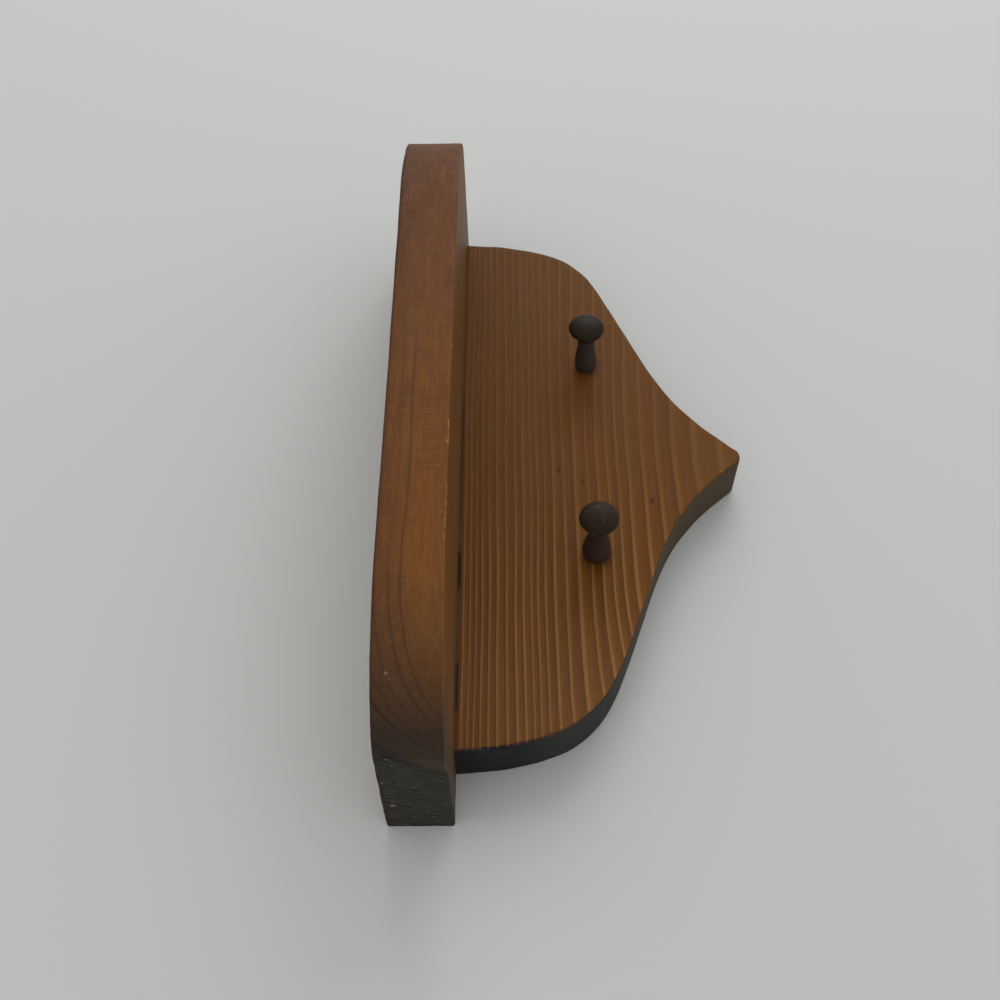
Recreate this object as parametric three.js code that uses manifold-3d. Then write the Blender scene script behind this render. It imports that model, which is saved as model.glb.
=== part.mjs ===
// A small wall shelf: a shelf board over an ogee-shaped back board with two turned pegs.
// Millimetres, +Z up. The back lies on the plane Y = 0 and the front faces -Y.
// The origin is on the back face, on the centre line, half way down the back board.

import * as THREE from 'three';
import { mergeVertices } from 'three/addons/utils/BufferGeometryUtils.js';
import Module from 'manifold-3d';

// Shelf board
const SHELF_LENGTH = 247;
const SHELF_DEPTH = 77;
const SHELF_THICKNESS = 19;
const CORNER_RUN = 56; // each front corner's curve, along the front edge
const CORNER_DEPTH = 29; // the same curve, back along the end

// Back board, with its outline given down from the shelf's underside
const BACK_WIDTH = 214.5;
const BACK_DROP = 96.5;
const BACK_THICKNESS = 19;
const SIDE_TAPER = 0.03; // how much the sides lean in, per millimetre of drop
const SHOULDER_DROP = 53; // where the shoulder turns into the hollow flank
const SHOULDER_INSET = 30.25; // that point, in from the board's side
const TURN_ANGLE = THREE.MathUtils.degToRad(67.5); // direction there, away from straight down
const SIDE_LEAD = 37; // length of the curve's handle at the board's top corner
const SHOULDER_LEAD = 18; // handle above the turning point
const FLANK_LEAD = 51; // handle below the turning point
const NOSE_LEAD = 32; // handle at the nose
const NOSE_ANGLE = THREE.MathUtils.degToRad(41.5); // direction there, away from straight down
const NOSE_RADIUS = 3;

// Eased arrises of both boards
const EASE = 0.9;

// Pegs
const PEG_SPACING = 81.7;
const PEG_ROW_SHIFT = 1.3; // the pair stands a little to the right of the centre line
const PEG_DROP = 45.5; // below the shelf's underside
const HEAD_DIAMETER = 12.7;
const RIM_HEIGHT = 20.1; // the head's widest ring, above the board's face
const HEAD_DOME = 2.8;
const HEAD_UNDERSIDE = 2.6;
const NECK_DIAMETER = 6.2;
const NECK_START = 12.3;
const NECK_END = 14.6;
const SWELL_DIAMETER = 9.4;
const SWELL_HEIGHT = 2.2;
const SHANK_LEAD = 3.9; // handle of the taper's curve at the swell and at the neck
const FOOT_DIAMETER = 8.2;
const TENON_DIAMETER = 6.4;
const TENON_LENGTH = 12;
const TENON_ROOM = 0.8; // glue room under the tenon's end

// Screws that hold the shelf board down on the back board's top edge
const SCREW_SPACING = 140;
const SCREW_LENGTH = 38;
const SCREW_HEAD_DIAMETER = 8;
const SCREW_HEAD_RIM = 0.4;
const SCREW_SHANK_DIAMETER = 4.2;
const SCREW_THREAD_DIAMETER = 3.6;
const SCREW_THREAD_LENGTH = 22;
const SCREW_POINT = 5;
const SCREW_SINK = 0.4; // the head's face, below the shelf's top
const SCREW_ROOM = 2; // pilot hole past the point
const RECESS_LENGTH = 4.4; // the driver's cross recess, tip to tip
const RECESS_WIDTH = 0.9;
const RECESS_DEPTH = 1.3;

// Sawtooth hanger, let into the back
const HANGER_LENGTH = 44;
const HANGER_HEIGHT = 9;
const HANGER_THICKNESS = 0.8;
const HANGER_TAB = 6.5; // flat end that is nailed down
const HANGER_RAMP = 2.5;
const HANGER_RISE = 1.8; // the bridge's clearance over the pocket's floor
const TOOTH_PITCH = 2.6;
const TOOTH_DEPTH = 1.5;
const TOOTH_MARGIN = 1.3; // plain bridge left at each end of the teeth

// Routed pocket that the hanger sits in
const POCKET_DROP = 12; // the pocket's upper edge, below the shelf's underside
const POCKET_DEPTH = 3.6;
const POCKET_END_ROOM = 2; // past each end of the hanger
const POCKET_HEAD_ROOM = 1; // above the hanger
const POCKET_NAIL_ROOM = 9; // below the hanger, where the wall nail goes in
const POCKET_CORNER = 5;

// Hanger nails
const NAIL_DIAMETER = 1.4;
const NAIL_LENGTH = 11;
const NAIL_POINT = 2;
const NAIL_ROOM = 0.8; // hole past the point
const NAIL_HEAD_DIAMETER = 3.4;
const NAIL_HEAD_THICKNESS = 0.6;

// Clearance between a piece and the hole it sits in, and the overrun of a cutting shape
const FIT_GAP = 0.3;
const OVERRUN = 1;

// Fineness of the round shapes
const CURVE_STEPS = 18;
const SMALL_CURVE_STEPS = 6;
const EASE_STEPS = 2;
const TURNED_SIDES = 32;
const SMALL_SIDES = 24;

const wasm = await Module();
wasm.setup();

function toSolid(geometry) {
  const bare = geometry.clone();
  bare.deleteAttribute('normal');
  bare.deleteAttribute('uv');
  const merged = mergeVertices(bare);
  return new wasm.Manifold(new wasm.Mesh({
    numProp: 3,
    vertProperties: new Float32Array(merged.attributes.position.array),
    triVerts: new Uint32Array(merged.index.array),
  }));
}

function toGeometry(solid) {
  const mesh = solid.getMesh();
  const geometry = new THREE.BufferGeometry();
  geometry.setAttribute('position', new THREE.BufferAttribute(mesh.vertProperties, 3));
  geometry.setIndex(new THREE.BufferAttribute(mesh.triVerts, 1));
  geometry.computeVertexNormals();
  return geometry;
}

// Takes every cutter away from the blank
function cut(blank, cutters) {
  let solid = toSolid(blank);
  for (const cutter of cutters) {
    solid = solid.subtract(toSolid(cutter));
  }
  return toGeometry(solid);
}

// A flat outline given its thickness, from z = 0 up
function slab(outline, thickness, steps) {
  return new THREE.ExtrudeGeometry(outline, {
    depth: thickness,
    curveSegments: steps,
    bevelEnabled: false,
  });
}

// The same with the arrises of both faces eased
function easedBoard(outline, thickness) {
  const geometry = new THREE.ExtrudeGeometry(outline, {
    depth: thickness - 2 * EASE,
    curveSegments: CURVE_STEPS,
    bevelEnabled: true,
    bevelThickness: EASE,
    bevelSize: EASE,
    bevelOffset: -EASE,
    bevelSegments: EASE_STEPS,
  });
  return geometry.translate(0, 0, EASE);
}

// A solid of revolution about Z, from its profile of (radius, height) points
function turned(profile, sides) {
  return new THREE.LatheGeometry(profile, sides).rotateX(Math.PI / 2);
}

// A round cutter along Z between two heights
function drill(diameter, low, high) {
  const geometry = new THREE.CylinderGeometry(diameter / 2, diameter / 2, high - low, SMALL_SIDES);
  return geometry.rotateX(Math.PI / 2).translate(0, 0, (low + high) / 2);
}

const oiledPine = { color: 0x74472a, roughness: 0.55, metalness: 0 };
const sawnPine = { color: 0x6c4626, roughness: 0.6, metalness: 0 };
const ebonisedBirch = { color: 0x2b2421, roughness: 0.45, metalness: 0 };
const zincedSteel = { color: 0x9c9788, roughness: 0.4, metalness: 1 };
const brassedSteel = { color: 0xb29a5e, roughness: 0.4, metalness: 1 };

// Both hands of the pieces that come in pairs
const hands = [
  { side: 'left', sign: -1 },
  { side: 'right', sign: 1 },
];

// The part is made below the shelf's underside, in a group that is lifted to the origin's level
const wallShelf = new THREE.Group();
const fromUnderside = new THREE.Group();
fromUnderside.position.z = BACK_DROP / 2;
wallShelf.add(fromUnderside);

function place(name, geometry, finish, x, y, z) {
  const mesh = new THREE.Mesh(geometry, new THREE.MeshStandardMaterial(finish));
  mesh.name = name;
  mesh.position.set(x, y, z);
  fromUnderside.add(mesh);
  return mesh;
}

// Shelf screws: the screw's own frame has its head's face at z = 0 and its point down
const screwX = SCREW_SPACING / 2;
const screwY = -BACK_THICKNESS / 2;
const screwFaceZ = SHELF_THICKNESS - SCREW_SINK;
const pilotDepth = SCREW_LENGTH - screwFaceZ + SCREW_ROOM;

// Profile of the head's cone and rim, grown by a clearance
function headProfile(clearance, top) {
  const wide = SCREW_HEAD_DIAMETER / 2 + clearance;
  const narrow = SCREW_SHANK_DIAMETER / 2 + clearance;
  const rimZ = -SCREW_HEAD_RIM - clearance;
  return [
    new THREE.Vector2(narrow, rimZ - wide + narrow),
    new THREE.Vector2(wide, rimZ),
    new THREE.Vector2(wide, top),
    new THREE.Vector2(0, top),
  ];
}

function countersink() {
  const profile = headProfile(FIT_GAP, SCREW_SINK + OVERRUN);
  const bottom = new THREE.Vector2(0, profile[0].y);
  return turned([bottom, ...profile], SMALL_SIDES);
}

function screwGeometry() {
  const thread = SCREW_THREAD_DIAMETER / 2;
  const shank = SCREW_SHANK_DIAMETER / 2;
  const shoulderZ = SCREW_THREAD_LENGTH - SCREW_LENGTH;
  const blank = turned([
    new THREE.Vector2(0, -SCREW_LENGTH),
    new THREE.Vector2(thread, SCREW_POINT - SCREW_LENGTH),
    new THREE.Vector2(thread, shoulderZ),
    new THREE.Vector2(shank, shoulderZ),
    ...headProfile(0, 0),
  ], SMALL_SIDES);
  const height = RECESS_DEPTH + OVERRUN;
  const middle = height / 2 - RECESS_DEPTH;
  return cut(blank, [
    new THREE.BoxGeometry(RECESS_LENGTH, RECESS_WIDTH, height).translate(0, 0, middle),
    new THREE.BoxGeometry(RECESS_WIDTH, RECESS_LENGTH, height).translate(0, 0, middle),
  ]);
}

// Shelf board: square at the back, a quarter ellipse at each front corner
function shelfOutline() {
  const half = SHELF_LENGTH / 2;
  const cornerX = half - CORNER_RUN;
  const cornerY = CORNER_DEPTH - SHELF_DEPTH;
  const outline = new THREE.Shape();
  outline.moveTo(half, 0);
  outline.lineTo(-half, 0);
  outline.absellipse(-cornerX, cornerY, CORNER_RUN, CORNER_DEPTH, Math.PI, 1.5 * Math.PI);
  outline.absellipse(cornerX, cornerY, CORNER_RUN, CORNER_DEPTH, 1.5 * Math.PI, 2 * Math.PI);
  outline.closePath();
  return outline;
}

const shelfCutters = hands.flatMap(({ sign }) => [
  drill(SCREW_SHANK_DIAMETER + 2 * FIT_GAP, -OVERRUN, screwFaceZ).translate(sign * screwX, screwY, 0),
  countersink().translate(sign * screwX, screwY, screwFaceZ),
]);
place('shelf_board', cut(easedBoard(shelfOutline(), SHELF_THICKNESS), shelfCutters), oiledPine, 0, 0, 0);

// Back board's outline in (x, drop) on the right, mirrored for the left, drawn from the top left
// corner down to the nose and up again. Each row is a curve's two handles and its end.
function backOutline() {
  const half = BACK_WIDTH / 2;
  const turnX = half - SHOULDER_INSET;
  const turn = new THREE.Vector2(-Math.sin(TURN_ANGLE), Math.cos(TURN_ANGLE));
  const nose = new THREE.Vector2(-Math.sin(NOSE_ANGLE), Math.cos(NOSE_ANGLE));
  const noseDrop = BACK_DROP - NOSE_RADIUS;
  const noseX = NOSE_RADIUS * Math.cos(NOSE_ANGLE);
  const noseY = noseDrop + NOSE_RADIUS * Math.sin(NOSE_ANGLE);
  const corner = [half, 0];
  const shoulder = [
    [half - SIDE_TAPER * SIDE_LEAD, SIDE_LEAD],
    [turnX - SHOULDER_LEAD * turn.x, SHOULDER_DROP - SHOULDER_LEAD * turn.y],
    [turnX, SHOULDER_DROP],
  ];
  const flank = [
    [turnX + FLANK_LEAD * turn.x, SHOULDER_DROP + FLANK_LEAD * turn.y],
    [noseX - NOSE_LEAD * nose.x, noseY - NOSE_LEAD * nose.y],
    [noseX, noseY],
  ];

  const outline = new THREE.Shape();
  function curve(sign, first, second, end) {
    outline.bezierCurveTo(
      sign * first[0], -first[1],
      sign * second[0], -second[1],
      sign * end[0], -end[1],
    );
  }
  outline.moveTo(-half, 0);
  curve(-1, ...shoulder);
  curve(-1, ...flank);
  outline.absarc(0, -noseDrop, NOSE_RADIUS, Math.PI + NOSE_ANGLE, 2 * Math.PI - NOSE_ANGLE);
  curve(1, flank[1], flank[0], shoulder[2]);
  curve(1, shoulder[1], shoulder[0], corner);
  outline.closePath();
  return outline;
}

// The hanger lies against the pocket's floor
const pocketFloorY = -POCKET_DEPTH;
const hangerLowZ = -POCKET_DROP - POCKET_HEAD_ROOM - HANGER_HEIGHT;
const nailZ = hangerLowZ + HANGER_HEIGHT / 2;
const nailX = (HANGER_LENGTH - HANGER_TAB) / 2;
const nailHoleDiameter = NAIL_DIAMETER + 2 * FIT_GAP;
const nailHoleDepth = POCKET_DEPTH + NAIL_LENGTH - HANGER_THICKNESS + NAIL_ROOM;

// The pocket has round corners and is cut forward from the back face
function pocket() {
  const innerX = HANGER_LENGTH / 2 + POCKET_END_ROOM - POCKET_CORNER;
  const highZ = -POCKET_DROP - POCKET_CORNER;
  const lowZ = hangerLowZ - POCKET_NAIL_ROOM + POCKET_CORNER;
  const quarter = Math.PI / 2;
  const corners = [[-innerX, lowZ], [innerX, lowZ], [innerX, highZ], [-innerX, highZ]];
  const outline = new THREE.Shape();
  corners.forEach(([x, z], index) => {
    outline.absarc(x, z, POCKET_CORNER, (index + 2) * quarter, (index + 3) * quarter);
  });
  outline.closePath();
  const cutter = slab(outline, POCKET_DEPTH + OVERRUN, SMALL_CURVE_STEPS);
  return cutter.rotateX(Math.PI / 2).translate(0, OVERRUN, 0);
}

const pegX = (sign) => PEG_ROW_SHIFT + sign * PEG_SPACING / 2;

const backCutters = hands.flatMap(({ sign }) => [
  drill(TENON_DIAMETER + 2 * FIT_GAP, -OVERRUN, TENON_LENGTH + TENON_ROOM)
    .rotateX(-Math.PI / 2)
    .translate(pegX(sign), -BACK_THICKNESS, -PEG_DROP),
  drill(SCREW_THREAD_DIAMETER + 2 * FIT_GAP, -pilotDepth, OVERRUN)
    .translate(sign * screwX, screwY, 0),
  drill(nailHoleDiameter, POCKET_DEPTH - OVERRUN, nailHoleDepth)
    .rotateX(Math.PI / 2)
    .translate(sign * nailX, 0, nailZ),
]);
const backBlank = easedBoard(backOutline(), BACK_THICKNESS).rotateX(Math.PI / 2);
place('back_board', cut(backBlank, [pocket(), ...backCutters]), sawnPine, 0, 0, 0);

// Pegs: turned in one piece, with the foot at z = 0 and the head up
function pegProfile() {
  const swell = SWELL_DIAMETER / 2;
  const neck = NECK_DIAMETER / 2;
  const head = HEAD_DIAMETER / 2;

  // the neck's fillet meets the ellipse of the head's underside at 45 degrees round it
  const meet = -Math.PI / 4;
  const meetRadius = head * Math.cos(meet);
  const meetHeight = RIM_HEIGHT + HEAD_UNDERSIDE * Math.sin(meet);
  const filletHeight = meetHeight - (meetRadius - neck) * HEAD_UNDERSIDE / head;

  const path = new THREE.Path();
  path.moveTo(0, -TENON_LENGTH);
  path.lineTo(TENON_DIAMETER / 2, -TENON_LENGTH);
  path.lineTo(TENON_DIAMETER / 2, 0);
  path.lineTo(FOOT_DIAMETER / 2, 0);
  path.quadraticCurveTo(swell, SWELL_HEIGHT / 2, swell, SWELL_HEIGHT);
  path.bezierCurveTo(swell, SWELL_HEIGHT + SHANK_LEAD, neck, NECK_START - SHANK_LEAD, neck, NECK_START);
  path.lineTo(neck, NECK_END);
  path.quadraticCurveTo(neck, filletHeight, meetRadius, meetHeight);
  path.absellipse(0, RIM_HEIGHT, head, HEAD_UNDERSIDE, meet, 0);
  path.absellipse(0, RIM_HEIGHT, head, HEAD_DOME, 0, Math.PI / 2);
  return path.getPoints(SMALL_CURVE_STEPS);
}

for (const { side, sign } of hands) {
  const geometry = turned(pegProfile(), TURNED_SIDES);
  const peg = place(`peg_${side}`, geometry, ebonisedBirch, pegX(sign), -BACK_THICKNESS, -PEG_DROP);
  peg.rotation.x = Math.PI / 2;
}

for (const { side, sign } of hands) {
  place(`shelf_screw_${side}`, screwGeometry(), zincedSteel, sign * screwX, screwY, screwFaceZ);
}

// Hanger: a strip whose middle stands off the floor as a bridge, with teeth along its lower edge
function hangerGeometry() {
  const end = HANGER_LENGTH / 2;
  const tab = end - HANGER_TAB;
  const bridge = tab - HANGER_RAMP;
  const strip = new THREE.Shape();
  strip.moveTo(-end, 0);
  strip.lineTo(-tab, 0);
  strip.lineTo(-bridge, HANGER_RISE);
  strip.lineTo(bridge, HANGER_RISE);
  strip.lineTo(tab, 0);
  strip.lineTo(end, 0);
  strip.lineTo(end, HANGER_THICKNESS);
  strip.lineTo(tab, HANGER_THICKNESS);
  strip.lineTo(bridge, HANGER_RISE + HANGER_THICKNESS);
  strip.lineTo(-bridge, HANGER_RISE + HANGER_THICKNESS);
  strip.lineTo(-tab, HANGER_THICKNESS);
  strip.lineTo(-end, HANGER_THICKNESS);
  strip.closePath();

  const count = Math.floor(2 * (bridge - TOOTH_MARGIN) / TOOTH_PITCH);
  const firstX = -count * TOOTH_PITCH / 2;
  const teeth = new THREE.Shape();
  teeth.moveTo(firstX, -OVERRUN);
  for (let tooth = 0; tooth < count; tooth += 1) {
    teeth.lineTo(firstX + tooth * TOOTH_PITCH, 0);
    teeth.lineTo(firstX + (tooth + 0.5) * TOOTH_PITCH, TOOTH_DEPTH);
  }
  teeth.lineTo(-firstX, 0);
  teeth.lineTo(-firstX, -OVERRUN);
  teeth.closePath();

  // the teeth's cutter reaches back through the whole strip
  const reach = HANGER_RISE + HANGER_THICKNESS + 2 * OVERRUN;
  const blank = slab(strip, HANGER_HEIGHT, 1);
  const teethCutter = slab(teeth, reach, 1).rotateX(Math.PI / 2).translate(0, reach - OVERRUN, 0);
  const holes = hands.map(({ sign }) => drill(nailHoleDiameter, -OVERRUN, HANGER_THICKNESS + OVERRUN)
    .rotateX(-Math.PI / 2)
    .translate(sign * nailX, 0, HANGER_HEIGHT / 2));
  return cut(blank, [teethCutter, ...holes]);
}

place('hanger', hangerGeometry(), brassedSteel, 0, pocketFloorY, hangerLowZ);

// Hanger nails: the nail's own frame has the underside of its head at z = 0 and its point down
const nailProfile = [
  new THREE.Vector2(0, -NAIL_LENGTH),
  new THREE.Vector2(NAIL_DIAMETER / 2, NAIL_POINT - NAIL_LENGTH),
  new THREE.Vector2(NAIL_DIAMETER / 2, 0),
  new THREE.Vector2(NAIL_HEAD_DIAMETER / 2, 0),
  new THREE.Vector2(NAIL_HEAD_DIAMETER / 2, NAIL_HEAD_THICKNESS / 2),
  new THREE.Vector2(0, NAIL_HEAD_THICKNESS),
];

for (const { side, sign } of hands) {
  const geometry = turned(nailProfile, SMALL_SIDES);
  const y = pocketFloorY + HANGER_THICKNESS;
  const nail = place(`hanger_nail_${side}`, geometry, zincedSteel, sign * nailX, y, nailZ);
  nail.rotation.x = -Math.PI / 2;
}

export default wallShelf;
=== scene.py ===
"""A small wall shelf of stained pine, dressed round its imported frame.

Metres. The shelf stands upright: +X along the shelf, +Z up, and the back lies on the plane Y = 0.
The pale table that it lies on is therefore an upright sheet just behind the back.
"""

import bpy
import numpy as np
from mathutils import Matrix, Vector


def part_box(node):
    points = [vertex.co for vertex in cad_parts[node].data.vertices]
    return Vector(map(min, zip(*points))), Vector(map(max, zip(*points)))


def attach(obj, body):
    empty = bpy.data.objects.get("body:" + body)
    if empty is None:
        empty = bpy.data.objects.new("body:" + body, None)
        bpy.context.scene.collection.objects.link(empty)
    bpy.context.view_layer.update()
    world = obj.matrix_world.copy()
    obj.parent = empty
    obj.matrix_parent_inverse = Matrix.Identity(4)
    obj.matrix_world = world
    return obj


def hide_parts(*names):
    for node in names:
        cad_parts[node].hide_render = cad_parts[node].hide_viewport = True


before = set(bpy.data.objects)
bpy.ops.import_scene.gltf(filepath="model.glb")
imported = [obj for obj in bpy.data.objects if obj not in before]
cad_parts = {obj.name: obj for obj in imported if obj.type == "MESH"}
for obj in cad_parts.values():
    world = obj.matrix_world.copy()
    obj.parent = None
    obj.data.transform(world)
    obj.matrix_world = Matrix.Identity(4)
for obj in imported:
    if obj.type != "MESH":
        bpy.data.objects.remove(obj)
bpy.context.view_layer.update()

MM = 0.001
TAU = 2 * np.pi

# Sizes that the frame gives
back_low, back_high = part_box("back_board")
shelf_low, shelf_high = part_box("shelf_board")
BACK_HALF = back_high.x
BACK_DROP = back_high.z - back_low.z
BACK_THICKNESS = back_high.y - back_low.y
UNDERSIDE = shelf_low.z
SHELF_TOP = shelf_high.z
SHELF_HALF = shelf_high.x
SHELF_DEPTH = shelf_high.y - shelf_low.y
SHELF_THICKNESS = shelf_high.z - shelf_low.z

# Shelf board's front corners
CORNER_RUN = 56 * MM
CORNER_DEPTH = 29 * MM

# Back board's ogee, measured down from the shelf's underside
SIDE_TAPER = 0.03
SHOULDER_DROP = 53 * MM
SHOULDER_INSET = 30.25 * MM
TURN_ANGLE = np.radians(67.5)
SIDE_LEAD = 37 * MM
SHOULDER_LEAD = 18 * MM
FLANK_LEAD = 51 * MM
NOSE_LEAD = 32 * MM
NOSE_ANGLE = np.radians(41.5)
NOSE_RADIUS = 3 * MM
NOSE_FLAT = 0.15 * MM

# Eased arrises: their usual radius, the smallest and the largest one of each board, and steps round them
EASE = 0.9 * MM
BACK_EASE_RANGE = (0.22 * MM, 1.7 * MM)
SHELF_EASE_RANGE = (0.4 * MM, 1.6 * MM)
ARRIS_STEPS = 5

# Fineness of the boards' grids, and the bare place that the first row's arris needs past its corner
COLUMN_STEP = 2.0 * MM
ARC_STEP = 1.3 * MM
BACK_ROW_STEP = 0.36 * MM
SHELF_ROW_STEP = 0.75 * MM
BACK_EDGE_STEPS = 8
SHELF_EDGE_STEPS = 24
FIRST_ROW_GAP = 2.2 * MM

# Fineness of round work, points along drawn curves, and the angle in degrees from which an edge is sharp
PEG_ROW_STEP = 0.16 * MM
PEG_ARC_STEP = 0.3 * MM
CURVE_STEPS = 600
CORNER_STEPS = 500
NOSE_STEPS = 40
PEG_SIDES = 128
SCREW_SIDES = 160
NAIL_SIDES = 64
POCKET_SIDES = 96
SHARP_ANGLE = 40
SCREW_SHARP_ANGLE = 30


# Numbers and meshes

def waviness(seed, *axes, waves=9):
    """Smooth waviness of about -1 to 1: a sum of cosines whose directions and phases are drawn once.
    Each axis is a pair, its coordinates and the shortest wavelength along it."""
    draw = np.random.default_rng(seed)
    total = 0
    for _ in range(waves):
        angle = draw.uniform(0, TAU)
        for place, wavelength in axes:
            angle = angle + draw.uniform(-1, 1) * TAU * place / wavelength
        total = total + np.cos(angle)
    return total / np.sqrt(waves)


def smoothstep(value, low, high):
    """0 below low, 1 above high, and 3t^2 - 2t^3 between."""
    t = np.clip((value - low) / (high - low), 0, 1)
    return t * t * (3 - 2 * t)


def bell(value, centre, width):
    """A bump 1 high at the centre: exp(-(distance / width)^2)."""
    return np.exp(-((value - centre) / width) ** 2)


def bumps(place, rows):
    """Several bumps added up, from rows of centre, width and height."""
    return sum(height * bell(place, centre, width) for centre, width, height in rows)


def middle_of(node):
    """The middle of a CAD node's box."""
    low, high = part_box(node)
    return (low + high) / 2


def new_object(name, data):
    """A new object in the scene, at the origin."""
    item = bpy.data.objects.new(name, data)
    bpy.context.scene.collection.objects.link(item)
    return item


def ring_quads(rings, count):
    """The quads between closed rings of count points each, whose points follow one another."""
    start = np.arange(rings - 1)[:, None] * count
    here = np.arange(count)[None]
    beside = (here + 1) % count
    quads = np.stack([start + here, start + beside, start + count + beside, start + count + here], 2)
    return quads.reshape(-1, 4)


def mesh_from(name, points, quads, sharp_angle=SHARP_ANGLE):
    """A new object from points and faces, turned outwards by the sign of its volume."""
    a, b, c, d = points[quads].transpose(1, 0, 2)
    volume = np.einsum("ij,ij->", a, np.cross(b, c)) + np.einsum("ij,ij->", a, np.cross(c, d))
    if volume < 0:
        quads = quads[:, ::-1]
    mesh = bpy.data.meshes.new(name)
    mesh.vertices.add(len(points))
    mesh.vertices.foreach_set("co", points.astype(np.float32).ravel())
    mesh.loops.add(quads.size)
    mesh.loops.foreach_set("vertex_index", quads.astype(np.int32).ravel())
    mesh.polygons.add(len(quads))
    mesh.polygons.foreach_set("loop_start", np.arange(0, quads.size, 4, dtype=np.int32))
    mesh.update(calc_edges=True)
    mesh.validate()
    mesh.shade_smooth()
    mesh.set_sharp_from_angle(angle=np.radians(sharp_angle))
    return new_object(name, mesh)


def points_of(mesh):
    """The mesh's vertices as an array of rows."""
    flat = np.empty(len(mesh.vertices) * 3, np.float32)
    mesh.vertices.foreach_get("co", flat)
    return flat.reshape(-1, 3).astype(float)


def set_points(mesh, *axes):
    """Moves the mesh's vertices to new places, given as three arrays."""
    mesh.vertices.foreach_set("co", np.stack(axes, 1).astype(np.float32).ravel())


def set_attributes(mesh, **numbers):
    """Gives each vertex numbers that the materials read by name."""
    for name, values in numbers.items():
        attribute = mesh.attributes.new(name, "FLOAT", "POINT")
        attribute.data.foreach_set("value", np.asarray(values, np.float32))


def carve(piece, cutter):
    """Takes the cutter's shape out of the piece, and removes the cutter."""
    modifier = piece.modifiers.new("carve", "BOOLEAN")
    modifier.operation = "DIFFERENCE"
    modifier.solver = "EXACT"
    modifier.object = cutter
    depsgraph = bpy.context.evaluated_depsgraph_get()
    mesh = bpy.data.meshes.new_from_object(piece.evaluated_get(depsgraph))
    piece.modifiers.clear()
    old = piece.data
    mesh.name = old.name
    piece.data = mesh
    bpy.data.meshes.remove(old)
    bpy.data.objects.remove(cutter)


def cubic(start, first, second, end, steps):
    """A cubic curve from its ends and handles, as rows of points: with t from 0 to 1 and u = 1 - t, it is
    u^3 start + 3 u^2 t first + 3 u t^2 second + t^3 end."""
    t = np.linspace(0, 1, steps)[:, None]
    u = 1 - t
    return u ** 3 * start + 3 * u * u * t * first + 3 * u * t * t * second + t ** 3 * end


def respaced(points, drop_step, arc_step):
    """The same line with points no further apart than either step, down the board or along the line."""
    jump = np.diff(points, axis=0)
    need = np.maximum(np.abs(jump[:, 1]) / drop_step, np.hypot(*jump.T) / arc_step)
    run = np.concatenate([[0], np.cumsum(need)])
    places = np.linspace(0, run[-1], int(np.ceil(run[-1])) + 1)
    return np.stack([np.interp(places, run, points[:, k]) for k in (0, 1)], 1)


# Boards

def corner_normals(outline):
    """Which way, and how far, each corner of a closed outline moves when both its edges move out by one:
    (n + m) / (1 + n . m), from the two edges' normals."""
    ahead = np.roll(outline, -1, axis=0) - outline
    ahead /= np.linalg.norm(ahead, axis=1)[:, None]
    after = np.stack([ahead[:, 1], -ahead[:, 0]], 1)
    before = np.roll(after, 1, axis=0)
    return (after + before) / (1 + np.einsum("ij,ij->i", after, before))[:, None]


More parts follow.
